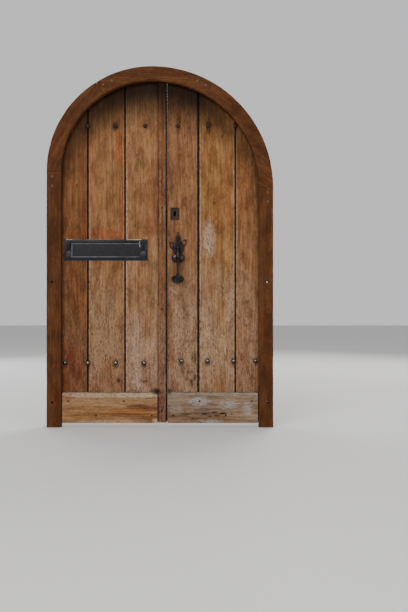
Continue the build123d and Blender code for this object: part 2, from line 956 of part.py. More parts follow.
def rail_nails(side):
    """Nail places in a kick rail."""
    outer = clear_half_width - rail_end_gap - rail_nail_inset
    edge = left_leaf_edge - strip_width if side < 0 else right_leaf_edge
    inner = side * edge + rail_nail_inset
    pitch = (outer - inner) / (rail_nail_count - 1)
    rows = (leaf_foot + rail_nail_low, leaf_foot + rail_height - rail_nail_drop)
    return [(side * (inner + pitch * step), rows[step % 2]) for step in range(rail_nail_count)]


strip_x = left_leaf_edge - strip_width / 2
strip_nail_pitch = (crown_height - strip_nail_drop - strip_nail_low) / (strip_nail_count - 1)
strip_nails = [
    (strip_x, strip_nail_low + step * strip_nail_pitch) for step in range(strip_nail_count)
]

# Knocker places
knocker_face = front_y - knocker_plate_thickness
pivot_y = knocker_face - pivot_stand
hammer_y = front_y - hammer_stand
knocker_bolt_places = [
    (knocker_x, knocker_pivot_z + knocker_bolt_rise),
    (knocker_x, knocker_pivot_z - knocker_bolt_drop),
]

# Slide bolt places on the left leaf
loop_span = slide_bar + 2 * slide_gap
leaf_top = right_spring + sqrt((right_radius + leaf_cover) ** 2 - (slide_x - crown_x) ** 2)
top_plate_low = top_z + ledge_height / 2 + slide_plate_gap
top_plate_high = leaf_top - slide_plate_top_gap
foot_plate_low = leaf_foot + slide_plate_foot_gap
foot_plate_high = left_low_z - ledge_height / 2 - slide_plate_gap


def slide_screws(low, high):
    """Screw places in a slide bolt's plate."""
    levels = (low + slide_screw_inset, high - slide_screw_inset)
    return [(slide_x + side * slide_screw_x, z) for side in (-1, 1) for z in levels]


slide_screw_places = slide_screws(top_plate_low, top_plate_high)
slide_screw_places += slide_screws(foot_plate_low, foot_plate_high)
slide_bite = screw_length - slide_plate_thickness

left_shanks = low_strap_bolts[-1] + top_bolts[-1]
right_shanks = low_strap_bolts[1] + top_bolts[1]
bolt_hole = bolt_radius + bolt_clearance
screw_hole = screw_radius + screw_fit
left_cuts = [rod_along_y([place], bolt_hole, front_y, 0) for place in left_shanks]
left_cuts += [rod_along_y([place], screw_hole, front_y, 0) for place in letter_screw_places]
left_cuts += [rod_along_y([place], screw_hole, -slide_bite, 0) for place in slide_screw_places]
left_cuts += [
    rod_along_y([place], nail_radius, front_y, front_y + nail_bite) for place in rail_nails(-1)
]
strip_nail_reach = rail_thickness + nail_bite - strip_thickness
left_cuts += [
    rod_along_y([place], nail_radius, front_y, front_y + strip_nail_reach) for place in strip_nails
]
left_cuts.append(slot)
right_cuts = [rod_along_y([place], bolt_hole, front_y, 0) for place in right_shanks]
right_cuts += [
    rod_along_y([place], nail_radius, front_y, front_y + nail_bite) for place in rail_nails(1)
]
right_cuts += [
    rod_along_y([place], plate_pin_radius, front_y, front_y + nail_bite)
    for place in plate_pin_places
]
right_cuts += [
    rod_along_y([place], knocker_bolt_radius + screw_fit, front_y, 0)
    for place in knocker_bolt_places
]
right_cuts.append(
    rod_along_y([(knocker_x, striker_z)], stud_radius / 2, front_y, front_y + nail_bite)
)
right_cuts.append(keyhole(front_y, 0))

leaves = {
    "left": (-leaf_half_width, left_leaf_edge, left_board_joints, left_cuts),
    "right": (right_leaf_edge, leaf_half_width, right_board_joints, right_cuts),
}
for side_name, (start, end, joints, cuts) in leaves.items():
    edges = [(start, 0)] + joints + [(end, 0)]
    for number in range(len(edges) - 1):
        (left, left_gap), (right, right_gap) = edges[number], edges[number + 1]
        plank = board(left, right, left_gap, right_gap, cuts)
        name = f"{side_name}_board_{number + 1}"
        lengths = plank.solids().sort_by(Axis.Z)
        if len(lengths) == 1:
            save(plank, name)
        else:
            save(lengths[0], f"{name}_low")
            save(lengths[-1], f"{name}_high")

# Cover strip beside the meeting edge
with BuildPart() as cover_strip:
    with BuildSketch(Plane.XY.offset(leaf_foot)):
        with Locations((strip_x, front_y - strip_thickness / 2)):
            Rectangle(strip_width, strip_thickness)
    extrude(amount=crown_height)
    uprights = cover_strip.edges().filter_by(Axis.Z).group_by(Axis.Y)[0]
    fillet(uprights, strip_round)
    with BuildSketch(wall_plane(front_y)):
        add(doorway(-strip_top_gap, leaf_foot))
    extrude(amount=strip_thickness, mode=Mode.INTERSECT)
    add(
        rod_along_y(strip_nails, nail_radius, front_y - strip_thickness, front_y),
        mode=Mode.SUBTRACT,
    )
save(cover_strip.part, "cover_strip")


# Kick rails with a weathered bevel along the top
def kick_rail(side):
    """The rail across the foot of one leaf."""
    outer = side * (clear_half_width - rail_end_gap)
    if side < 0:
        inner = left_leaf_edge - strip_width - rail_edge_inset
    else:
        inner = right_leaf_edge + rail_edge_inset
    top = leaf_foot + rail_height
    with BuildPart() as rail:
        with BuildSketch(Plane.YZ.offset(min(outer, inner))):
            with BuildLine():
                Polyline(
                    (front_y, leaf_foot),
                    (front_y, top),
                    (front_y - rail_thickness + rail_bevel, top),
                    (front_y - rail_thickness, top - rail_bevel),
                    (front_y - rail_thickness, leaf_foot),
                    close=True,
                )
            make_face()
        extrude(amount=abs(outer - inner))
        add(
            rod_along_y(rail_nails(side), nail_radius, front_y - rail_thickness, front_y),
            mode=Mode.SUBTRACT,
        )
    return rail.part


save(kick_rail(-1), "left_kick_rail")
save(kick_rail(1), "right_kick_rail")
left_nail_places = [(x, front_y - rail_thickness, z) for x, z in rail_nails(-1)]
left_nail_places += [(x, front_y - strip_thickness, z) for x, z in strip_nails]
save(group(nail.part, left_nail_places), "left_nails")
right_nail_places = [(x, front_y - rail_thickness, z) for x, z in rail_nails(1)]
save(group(nail.part, right_nail_places), "right_nails")


# Knocker: a leaf-shaped plate with two ears, and a hammer that hangs on a pin between them
def leaf_face(share):
    """The leaf of the plate at a share of its full size, drawn from its finial downwards."""
    right_side = [
        (0.14, 0.95),
        (0.18, 0.79),
        (0.43, 0.66),
        (0.46, 0.50),
        (0.86, 0.29),
        (1.00, 0.05),
        (0.86, -0.24),
        (0.61, -0.47),
    ]
    top = knocker_pivot_z + share * leaf_above
    bottom = knocker_pivot_z - share * leaf_below
    with BuildSketch(Plane.XY) as face:
        with BuildLine():
            sides = []
            for side in (1, -1):
                points = [
                    (
                        knocker_x + side * share * leaf_half_breadth * across,
                        knocker_pivot_z + share * leaf_above * rise,
                    )
                    for across, rise in right_side
                ]
                sides.append(Spline(*points))
            ThreePointArc(sides[1] @ 0, (knocker_x, top), sides[0] @ 0)
            ThreePointArc(sides[1] @ 1, (knocker_x, bottom), sides[0] @ 1)
        make_face()
    return face.sketch


def scroll_face(side, z):
    """A thin leaf that curls out from one side of the plate, from its root up to its tip."""

    def point(across, rise):
        return knocker_x + side * across * scroll_reach, z + rise * scroll_height

    with BuildSketch(Plane.XY) as face:
        with BuildLine():
            stem = ThreePointArc(point(0.56, -0.54), point(0.87, -0.22), point(1.00, 0.22))
            ThreePointArc(stem @ 1, point(0.87, 0.46), point(0.72, 0.30))
        trace(line_width=scroll_width)
    return face.sketch


ear_middle = barrel_width / 2 + ear_gap + ear_thickness / 2
ear_starts = [knocker_x + side * ear_middle - ear_thickness / 2 for side in (-1, 1)]
with BuildPart() as knocker_plate:
    with BuildSketch(wall_plane(front_y)):
        add(leaf_face(1))
        with Locations((knocker_x, boss_z)):
            RectangleRounded(2 * boss_half_width, 2 * boss_half_height, boss_round)
        add(scroll_face(-1, knocker_pivot_z + left_scroll_rise))
        add(scroll_face(1, knocker_pivot_z + right_scroll_rise))
    extrude(amount=knocker_plate_thickness)
    with BuildSketch(wall_plane(knocker_face)):
        add(leaf_face(leaf_inner_share))
    extrude(amount=leaf_rise)
    for level, share in boss_levels:
        with BuildSketch(wall_plane(knocker_face - boss_rise * level)):
            with Locations((knocker_x, boss_z)):
                RectangleRounded(
                    2 * share * boss_half_width,
                    2 * share * boss_half_height,
                    share * boss_round,
                )
    loft(ruled=True)
    for x in ear_starts:
        with BuildSketch(Plane.YZ.offset(x)):
            with Locations((pivot_y, knocker_pivot_z)):
                Circle(ear_radius)
            with Locations(((pivot_y + knocker_face) / 2, knocker_pivot_z)):
                Rectangle(knocker_face - pivot_y, 2 * ear_radius)
        extrude(amount=ear_thickness)
    with BuildSketch(Plane.YZ.offset(knocker_x - boss_half_width)):
        with Locations((pivot_y, knocker_pivot_z)):
            Circle(knocker_pin_radius)
    extrude(amount=2 * boss_half_width, mode=Mode.SUBTRACT)
    bolt_end = knocker_nut_thickness + knocker_bolt_stand
    add(rod_along_y(knocker_bolt_places, knocker_bolt_radius, front_y, bolt_end))
save(knocker_plate.part, "knocker_plate")

pin_half = barrel_width / 2 + ear_gap + ear_thickness
with BuildPart() as knocker_pin:
    with BuildSketch(Plane.YZ.offset(knocker_x - pin_half)):
        with Locations((pivot_y, knocker_pivot_z)):
            Circle(knocker_pin_radius)
    extrude(amount=2 * pin_half)
save(knocker_pin.part, "knocker_pin")

lobes = [(knocker_x + side * lobe_spread, striker_z) for side in (-1, 1)]
with BuildPart() as knocker_hammer:
    with BuildSketch(Plane.YZ.offset(knocker_x - barrel_width / 2)):
        with Locations((pivot_y, knocker_pivot_z)):
            Circle(barrel_radius)
    extrude(amount=barrel_width)
    rod_plane = Plane(
        origin=(knocker_x, hammer_y, knocker_pivot_z), x_dir=(1, 0, 0), z_dir=(0, -1, 0)
    )
    with BuildSketch(rod_plane):
        with BuildLine():
            rod_foot = lobe_radius - striker_drop
            Polyline(
                (0, rod_head),
                (rod_radius, rod_head),
                (rod_radius, -rod_shoulder),
                (rod_radius + rod_swell, swell_rise - boss_drop),
                (rod_radius + rod_swell, -boss_drop),
                (rod_radius, -boss_drop - swell_drop),
                (rod_radius, rod_foot),
                (0, rod_foot),
                close=True,
            )
        make_face()
    revolve(axis=Axis((knocker_x, hammer_y, 0), (0, 0, 1)))
    with BuildSketch(wall_plane(hammer_y + striker_thickness / 2)):
        with Locations(*lobes):
            Circle(lobe_radius)
        with Locations((knocker_x, striker_z - striker_tip_radius)):
            Circle(striker_tip_radius)
        with BuildLine():
            Polyline(
                (knocker_x - rod_radius, striker_z + 2 * lobe_radius),
                lobes[0],
                lobes[1],
                (knocker_x + rod_radius, striker_z + 2 * lobe_radius),
                close=True,
            )
        make_face()
    extrude(amount=striker_thickness)
    with BuildSketch(wall_plane(hammer_y - striker_thickness / 2 + lobe_eye_depth)):
        with Locations(*lobes):
            Circle(lobe_eye_radius)
    extrude(amount=lobe_eye_depth, mode=Mode.SUBTRACT)
    with BuildSketch(Plane.YZ.offset(knocker_x - barrel_width / 2)):
        with Locations((pivot_y, knocker_pivot_z)):
            Circle(knocker_pin_radius + eye_clearance)
    extrude(amount=barrel_width, mode=Mode.SUBTRACT)
save(knocker_hammer.part, "knocker_hammer")

stud_face = hammer_y + striker_thickness / 2 + slide_gap
with BuildPart() as knocker_stud:
    add(rod_along_y([(knocker_x, striker_z)], stud_radius, stud_face, front_y))
    chamfer(knocker_stud.faces().sort_by(Axis.Y)[0].edges(), stud_chamfer)
    add(rod_along_y([(knocker_x, striker_z)], stud_radius / 2, front_y, front_y + nail_bite))
save(knocker_stud.part, "knocker_stud")

# Rim lock places
case_start = right_leaf_edge + case_edge_inset
case_end = case_start + case_width
bar_z = mid_z + bolt_bar_rise
bar_y = ledge_y + case_depth / 2
case_face = ledge_y + case_depth
lock_screw_places = [
    (x, mid_z + side * (case_height / 2 + tab_reach / 2))
    for side in (-1, 1)
    for x in (case_start + case_screw_inset, case_end - case_screw_inset)
]
keeper_end = left_leaf_edge - keeper_edge_inset
keeper_start = keeper_end - keeper_reach
keeper_screw_places = [
    (keeper_start + keeper_screw_inset, bar_z + side * keeper_screw_spread) for side in (-1, 1)
]


# Ledges on the inner face, chamfered along both front edges
def ledge(side, z, height, bolt_places, screw_places, bites, extra_cuts):
    """A ledge that ties the boards of one leaf."""
    hinge_end = side * (leaf_half_width - ledge_hinge_inset)
    meeting = left_leaf_edge if side < 0 else right_leaf_edge
    meeting_end = meeting + side * ledge_meeting_inset
    with BuildPart() as bar:
        with BuildSketch(Plane.YZ.offset(min(hinge_end, meeting_end))):
            with Locations((ledge_y / 2, z)):
                Rectangle(ledge_thickness, height)
        extrude(amount=abs(hinge_end - meeting_end))
        inner_face = bar.faces().sort_by(Axis.Y)[-1]
        chamfer(inner_face.edges().filter_by(Axis.X), ledge_chamfer)
        with BuildSketch(wall_plane(ledge_y)):
            add(doorway(leaf_cover - ledge_hinge_inset, leaf_foot))
        extrude(amount=ledge_thickness, mode=Mode.INTERSECT)
        if bolt_places:
            add(rod_along_y(bolt_places, bolt_hole, 0, ledge_y), mode=Mode.SUBTRACT)
        for place, bite in zip(screw_places, bites):
            add(rod_along_y([place], screw_hole, ledge_y - bite, ledge_y), mode=Mode.SUBTRACT)
        for cut in extra_cuts:
            add(cut, mode=Mode.SUBTRACT)
    return bar.part


strap_bite = screw_length - strap_thickness
tab_bite = screw_length - tab_thickness
left_mid_screws = mid_strap_places[-1] + keeper_screw_places
left_mid_bites = [strap_bite] * len(mid_strap_places[-1]) + [tab_bite] * len(keeper_screw_places)
right_mid_screws = mid_strap_places[1] + lock_screw_places
right_mid_bites = [strap_bite] * len(mid_strap_places[1]) + [tab_bite] * len(lock_screw_places)
save(ledge(-1, left_low_z, ledge_height, low_strap_bolts[-1], [], [], []), "left_ledge_low")
save(ledge(1, right_low_z, ledge_height, low_strap_bolts[1], [], [], []), "right_ledge_low")
save(ledge(-1, top_z, ledge_height, top_bolts[-1], [], [], []), "left_ledge_top")
save(ledge(1, top_z, ledge_height, top_bolts[1], [], [], []), "right_ledge_top")
save(
    ledge(-1, mid_z, mid_ledge_height, [], left_mid_screws, left_mid_bites, []),
    "left_ledge_mid",
)
save(
    ledge(1, mid_z, mid_ledge_height, [], right_mid_screws, right_mid_bites, [keyhole(0, ledge_y)]),
    "right_ledge_mid",
)
knocker_nuts = rod_along_y(knocker_bolt_places, knocker_nut_radius, 0, knocker_nut_thickness)
knocker_nuts -= rod_along_y(knocker_bolt_places, knocker_bolt_radius, 0, knocker_nut_thickness)
for side, side_name in ((-1, "left"), (1, "right")):
    bolts, nuts = bolt_groups(side)
    save(bolts, f"{side_name}_bolts")
    if side > 0:
        nuts += knocker_nuts.solids()
    save(Compound(children=nuts), f"{side_name}_nuts")

# Rim lock: a folded case with a sliding bolt guided by its end and by a bridge inside
bar_half_y = bolt_bar_depth / 2
bar_half_z = bolt_bar_height / 2
bolt_way = box_between(
    (case_start - case_wall, bar_y - bar_half_y - slide_gap, bar_z - bar_half_z - slide_gap),
    (case_end - bolt_way_end, bar_y + bar_half_y + slide_gap, bar_z + bar_half_z + slide_gap),
)
knob_rest_x = case_start + knob_inset
knob_way_half = knob_radius + knob_way_gap
knob_way = box_between(
    (knob_rest_x - bolt_travel - knob_way_half, case_face - case_wall, bar_z - knob_way_half),
    (knob_rest_x + knob_way_half, case_face, bar_z + knob_way_half),
)
with BuildPart() as lock_case:
    add(box_between(
        (case_start, ledge_y, mid_z - case_height / 2),
        (case_end, case_face, mid_z + case_height / 2),
    ))
    fillet(lock_case.faces().sort_by(Axis.Y)[-1].edges(), case_round)
    add(box_between(
        (case_start + case_wall, ledge_y, mid_z - case_height / 2 + case_wall),
        (case_end - case_wall, case_face - case_wall, mid_z + case_height / 2 - case_wall),
    ), mode=Mode.SUBTRACT)
    bridge_x = case_end - bridge_start
    add(box_between(
        (bridge_x, bar_y - bar_half_y - bridge_wall, bar_z - bar_half_z - bridge_wall),
        (bridge_x + bridge_width, case_face - case_wall, bar_z + bar_half_z + bridge_wall),
    ))
    for side in (-1, 1):
        tab_levels = sorted(mid_z + side * (case_height / 2 + rise) for rise in (0, tab_reach))
        add(box_between(
            (case_start + case_tab_inset, ledge_y, tab_levels[0]),
            (case_end - case_tab_inset, ledge_y + tab_thickness, tab_levels[1]),
        ))
    add(bolt_way, mode=Mode.SUBTRACT)
    add(knob_way, mode=Mode.SUBTRACT)
    add(
        rod_along_y(lock_screw_places, screw_hole, ledge_y, ledge_y + tab_thickness),
        mode=Mode.SUBTRACT,
    )
save(lock_case.part, "lock_case")

with BuildPart() as deadbolt:
    add(box_between(
        (case_start + bolt_bar_inset, bar_y - bar_half_y, bar_z - bar_half_z),
        (case_end - bolt_bar_end, bar_y + bar_half_y, bar_z + bar_half_z),
    ))
    chamfer(deadbolt.faces().sort_by(Axis.X)[0].edges(), bolt_bar_chamfer)
save(deadbolt.part, "deadbolt")

knob_centre_y = case_face + ball_radius + knob_stand
with BuildPart() as deadbolt_knob:
    add(rod_along_y([(knob_rest_x, bar_z)], knob_radius, bar_y + bar_half_y, knob_centre_y))
    with Locations((knob_rest_x, knob_centre_y, bar_z)):
        Sphere(ball_radius)
save(deadbolt_knob.part, "deadbolt_knob")

# Keeper on the left leaf, a plate with a box that the deadbolt shoots into
with BuildPart() as lock_keeper:
    add(box_between(
        (keeper_start, ledge_y, bar_z - keeper_height / 2),
        (keeper_end, ledge_y + tab_thickness, bar_z + keeper_height / 2),
    ))
    box_half_z = bar_half_z + keeper_box_wall
    add(box_between(
        (keeper_start + keeper_box_inset, ledge_y + tab_thickness, bar_z - box_half_z),
        (keeper_end, bar_y + bar_half_y + keeper_box_wall, bar_z + box_half_z),
    ))
    socket_half_y = bar_half_y + keeper_bolt_gap
    socket_half_z = bar_half_z + keeper_bolt_gap
    socket = box_between(
        (keeper_end - bolt_travel, bar_y - socket_half_y, bar_z - socket_half_z),
        (keeper_end, bar_y + socket_half_y, bar_z + socket_half_z),
    )
    add(socket, mode=Mode.SUBTRACT)
    add(
        rod_along_y(keeper_screw_places, screw_hole, ledge_y, ledge_y + tab_thickness),
        mode=Mode.SUBTRACT,
    )
save(lock_keeper.part, "lock_keeper")


# Slide bolts: square bars in two loops on a back plate, with a ball to pull them by
def bolt_loops(low, high):
    """The back plate of a slide bolt with its two loops."""
    with BuildPart() as guide:
        add(box_between(
            (slide_x - slide_plate_width / 2, 0, low),
            (slide_x + slide_plate_width / 2, slide_plate_thickness, high),
        ))
        half = loop_span / 2
        for z in (low + loop_inset, high - loop_inset - loop_height):
            add(box_between(
                (slide_x - half - loop_wall, 0, z),
                (slide_x + half + loop_wall, slide_y + half + loop_wall, z + loop_height),
            ))
        add(box_between(
            (slide_x - half, slide_plate_thickness, low),
            (slide_x + half, slide_y + half, high),
        ), mode=Mode.SUBTRACT)
        add(
            rod_along_y(slide_screws(low, high), screw_hole, 0, slide_plate_thickness),
            mode=Mode.SUBTRACT,
        )
    return guide.part


def slide_rod(low, high, knob_z):
    """The sliding bar with its ball."""
    half = slide_bar / 2
    ball_y = slide_y + half + loop_wall + ball_radius + knob_stand
    with BuildPart() as rod:
        add(box_between(
            (slide_x - half, slide_y - half, low), (slide_x + half, slide_y + half, high)
        ))
        chamfer(rod.faces().sort_by(Axis.Z)[-1].edges(), slide_bar_chamfer)
        chamfer(rod.faces().sort_by(Axis.Z)[0].edges(), slide_bar_chamfer)
        with Locations((slide_x, ball_y, knob_z)):
            Sphere(ball_radius)
        add(rod_along_y([(slide_x, knob_z)], knob_radius, slide_y, ball_y))
    return rod.part


save(bolt_loops(top_plate_low, top_plate_high), "top_bolt_guide")
save(bolt_loops(foot_plate_low, foot_plate_high), "foot_bolt_guide")
knob_rise = loop_inset + loop_height + loop_knob_gap
top_rod_low = top_plate_low - foot_rod_gap
top_rod_high = top_plate_high + top_rod_stand
save(slide_rod(top_rod_low, top_rod_high, top_plate_low + knob_rise), "top_bolt")
foot_rod_low = leaf_foot + foot_rod_gap
foot_rod_high = foot_plate_high + foot_rod_gap
save(slide_rod(foot_rod_low, foot_rod_high, foot_plate_high - knob_rise), "foot_bolt")

# Keeper for the top bolt on the head of the frame
keeper_half = slide_bar / 2 + head_keeper_play
with BuildPart() as top_bolt_keeper:
    add(box_between(
        (slide_x - slide_plate_width / 2, 0, head_keeper_low),
        (slide_x + slide_plate_width / 2, slide_plate_thickness, head_keeper_high),
    ))
    add(box_between(
        (slide_x - keeper_half - loop_wall, 0, head_keeper_low),
        (slide_x + keeper_half + loop_wall, slide_y + keeper_half + loop_wall, keeper_loop_high),
    ))
    add(box_between(
        (slide_x - keeper_half, slide_y - keeper_half + head_keeper_back, head_keeper_low),
        (slide_x + keeper_half, slide_y + keeper_half, keeper_loop_high),
    ), mode=Mode.SUBTRACT)
    add(rod_along_y(head_keeper_screws, screw_hole, 0, slide_plate_thickness), mode=Mode.SUBTRACT)
save(top_bolt_keeper.part, "top_bolt_keeper")

# Screws of the frame and of each leaf
pintle_places = [place for side, z, _ in hinges.values() for place in pintle_screws(side, z)]
frame_screws = Compound(children=(
    screws_from_inside(pintle_places, pintle_plate).solids()
    + screws_from_inside(head_keeper_screws, slide_plate_thickness).solids()
))
save(frame_screws, "frame_screws")
left_screws = Compound(children=(
    screws_from_inside(mid_strap_places[-1], strap_y).solids()
    + screws_from_inside(keeper_screw_places, ledge_y + tab_thickness).solids()
    + screws_from_inside(slide_screw_places, slide_plate_thickness).solids()
))
save(left_screws, "left_screws")
right_screws = Compound(children=(
    screws_from_inside(mid_strap_places[1], strap_y).solids()
    + screws_from_inside(lock_screw_places, ledge_y + tab_thickness).solids()
))
save(right_screws, "right_screws")
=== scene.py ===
import json
from math import cos, pi, radians, sin

import bmesh
import bpy
import numpy as np
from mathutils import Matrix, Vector

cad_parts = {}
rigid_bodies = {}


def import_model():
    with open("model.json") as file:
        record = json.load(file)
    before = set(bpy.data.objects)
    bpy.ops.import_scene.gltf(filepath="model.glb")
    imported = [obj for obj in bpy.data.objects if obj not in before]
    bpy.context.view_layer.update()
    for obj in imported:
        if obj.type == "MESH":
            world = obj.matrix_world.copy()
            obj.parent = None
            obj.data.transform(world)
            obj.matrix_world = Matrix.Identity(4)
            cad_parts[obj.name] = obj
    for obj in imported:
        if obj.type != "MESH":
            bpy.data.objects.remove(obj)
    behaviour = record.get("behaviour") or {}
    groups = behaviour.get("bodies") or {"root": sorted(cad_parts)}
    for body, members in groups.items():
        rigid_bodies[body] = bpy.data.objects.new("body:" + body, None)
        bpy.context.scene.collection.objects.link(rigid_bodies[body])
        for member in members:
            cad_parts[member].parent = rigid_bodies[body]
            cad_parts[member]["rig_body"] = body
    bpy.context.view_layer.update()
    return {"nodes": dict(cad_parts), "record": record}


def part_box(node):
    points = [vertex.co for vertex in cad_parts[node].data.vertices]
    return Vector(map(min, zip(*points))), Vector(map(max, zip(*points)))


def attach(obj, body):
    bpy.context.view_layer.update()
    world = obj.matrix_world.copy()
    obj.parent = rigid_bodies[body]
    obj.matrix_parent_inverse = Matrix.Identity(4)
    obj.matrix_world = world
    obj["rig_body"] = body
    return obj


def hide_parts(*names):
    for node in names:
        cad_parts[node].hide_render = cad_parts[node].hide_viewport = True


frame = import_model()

# The arched door, seen from outside: X to the right, +Y into the house, +Z up, in metres
slot_of = {part["node"]: part["material_slot"] for part in frame["record"]["subparts"]}

# Doorway: the jambs bound its clear width and reach up to where the arch springs
clear_half_width = -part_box("jamb_left")[1][0]
left_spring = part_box("jamb_left")[1][2]
right_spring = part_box("jamb_right")[1][2]
crown_x = (right_spring - left_spring) / 2
left_radius = clear_half_width + crown_x
right_radius = clear_half_width - crown_x

# Joints between boards, at the left side of each board that follows another
following_boards = ("left_board_2_low", "left_board_3", "right_board_2", "right_board_3")
board_joints = [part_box(node)[0][0] for node in following_boards]
front_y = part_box("left_board_1")[0][1]
strip_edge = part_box("cover_strip")[0][0]
rail_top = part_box("left_kick_rail")[1][2]

# Front meeting edges of the two leaves. Their backs reach further, so no box gives these
left_edge = 0.028
right_edge = 0.034

# How far the backs of the meeting edges move to the right, inside the clearance
left_back_lap = 0.0021
right_back_cut = 0.0021

# Steps of the mesh work, in metres
board_steps = ((0.003, 0.009, 0.009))
strip_steps = (0.004, 0.004, 0.009)
rail_steps = (0.006, 0.004, 0.003)
ledge_steps = (0.010, 0.006, 0.006)
frame_steps = (0.008, 0.008, 0.010)
forged_cell = 0.0007
weld_distance = 1e-6
cut_distance = 1e-5
flat_angle = radians(0.3)

# Angles from which an edge of the mesh counts as a corner, and up to which its shading is smooth
wood_corner_angle = radians(40)
metal_corner_angle = radians(35)
wood_smooth_angle = radians(38)
metal_smooth_angle = radians(40)
forged_smooth_angle = radians(60)

# Wear of the wood's corners and knots, and the hollows of forged iron, in metres
corner_rub = 0.0002
corner_wear = 0.0008
corner_chip = 0.0011
knot_dent = 0.0005
hammer_hollow = 0.0003

# Directions in which grain runs
upright = (0, 0, 1)
level = (1, 0, 0)


def srgb(red, green, blue):
    """A colour given as it shows on a screen, 0 to 255, as linear light."""
    linear = []
    for channel in (red, green, blue):
        share = channel / 255
        linear.append(share / 12.92 if share < 0.04045 else ((share + 0.055) / 1.055) ** 2.4)
    return (*linear, 1.0)


# Repeatable noise for shapes
across_prime = 374761393
along_prime = 668265263
seed_prime = 974711
mixing_prime = 1274126177
lattice_levels = 0xFFFF


def lattice(across, along, seed):
    """Random values between 0 and 1 at whole-number places."""
    mixed = across.astype(np.int64) * across_prime + along.astype(np.int64) * along_prime
    mixed = mixed + seed * seed_prime
    mixed = (mixed ^ (mixed >> 13)) * mixing_prime
    return ((mixed ^ (mixed >> 16)) & lattice_levels) / lattice_levels


def noise(across, along, seed):
    """Smooth noise between 0 and 1 over a plane."""
    column, row = np.floor(across), np.floor(along)
    right, up = across - column, along - row
    right, up = right * right * (3 - 2 * right), up * up * (3 - 2 * up)
    low = lattice(column, row, seed) * (1 - right) + lattice(column + 1, row, seed) * right
    high = lattice(column, row + 1, seed) * (1 - right) + lattice(column + 1, row + 1, seed) * right
    return low * (1 - up) + high * up


def layered(across, along, seed, layers=3):
    """Noise with finer and weaker layers, still between 0 and 1."""
    total, weight = np.zeros_like(across), 0.0
    for layer in range(layers):
        share = 0.5 ** layer
        total += share * noise(across * 2 ** layer, along * 2 ** layer, seed + layer)
        weight += share
    return total / weight


def step(value, low, high):
    """0 below low, 1 above high and smooth between."""
    share = np.clip((value - low) / (high - low), 0, 1)
    return share * share * (3 - 2 * share)


def near(distance, full, gone):
    """1 up to the full distance to either side, then smoothly down to 0 where it is gone."""
    return 1 - step(np.abs(distance), full, gone)


def under_arch(x, z):
    """How far a place lies straight below the arch of the clear opening."""
    radius = np.where(x < crown_x, left_radius, right_radius)
    spring = np.where(x < crown_x, left_spring, right_spring)
    rise = np.sqrt(np.clip(radius ** 2 - (x - crown_x) ** 2, 0, None))
    return spring + rise - z


# Meshes
def clean_copy(node):
    """The node's own shape as a bmesh, with its doubled vertices welded."""
    mesh = bmesh.new()
    mesh.from_mesh(frame["nodes"][node].data)
    bmesh.ops.remove_doubles(mesh, verts=mesh.verts, dist=weld_distance)
    return mesh


def with_whole_faces(mesh):
    """Joins the triangles of each flat face."""
    bmesh.ops.dissolve_limit(mesh, angle_limit=flat_angle, verts=mesh.verts, edges=mesh.edges)
    return mesh


def dense_copy(node, steps):
    """The node's own shape with its flat faces divided into small ones, as a bmesh."""
    mesh = with_whole_faces(clean_copy(node))
    low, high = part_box(node)
    for axis in (2, 1, 0):
        length = high[axis] - low[axis]
        count = int(length / steps[axis])
        normal = [0, 0, 0]
        normal[axis] = 1
        for number in range(1, count):
            place = [0, 0, 0]
            place[axis] = low[axis] + length * number / count
            bmesh.ops.bisect_plane(
                mesh,
                geom=mesh.verts[:] + mesh.edges[:] + mesh.faces[:],
                plane_co=place,
                plane_no=normal,
                dist=cut_distance,
            )
    return mesh


def is_corner(edge, angle):
    """Whether an edge stands out between two faces that meet at more than an angle."""
    return len(edge.link_faces) == 2 and edge.calc_face_angle(0) > angle and edge.is_convex


def sharp_points(mesh, angle):
    """1 at each vertex on a corner edge, 0 elsewhere."""
    flags = np.zeros(len(mesh.verts))
    mesh.verts.index_update()
    for edge in mesh.edges:
        if is_corner(edge, angle):
            flags[edge.verts[0].index] = 1
            flags[edge.verts[1].index] = 1
    return flags


def add_piece(name, mesh, node, material, smooth_angle):
    """Makes an object of a finished bmesh, in the place of a CAD node."""
    body = frame["nodes"][node]["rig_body"]
    data = bpy.data.meshes.new(name)
    mesh.to_mesh(data)
    mesh.free()
    piece = bpy.data.objects.new(name, data)
    bpy.context.scene.collection.objects.link(piece)
    data.polygons.foreach_set("use_smooth", [True] * len(data.polygons))
    data.set_sharp_from_angle(angle=smooth_angle)
    data.materials.append(material)
    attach(piece, body)
    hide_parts(node)
    return piece


def store(data, name, kind, values):
    """Keeps one value a vertex for the materials."""
    attribute = data.attributes.new(name, kind, "POINT")
    field = {"FLOAT_VECTOR": "vector", "FLOAT_COLOR": "color"}[kind]
    attribute.data.foreach_set(field, np.asarray(values, np.float32).ravel())


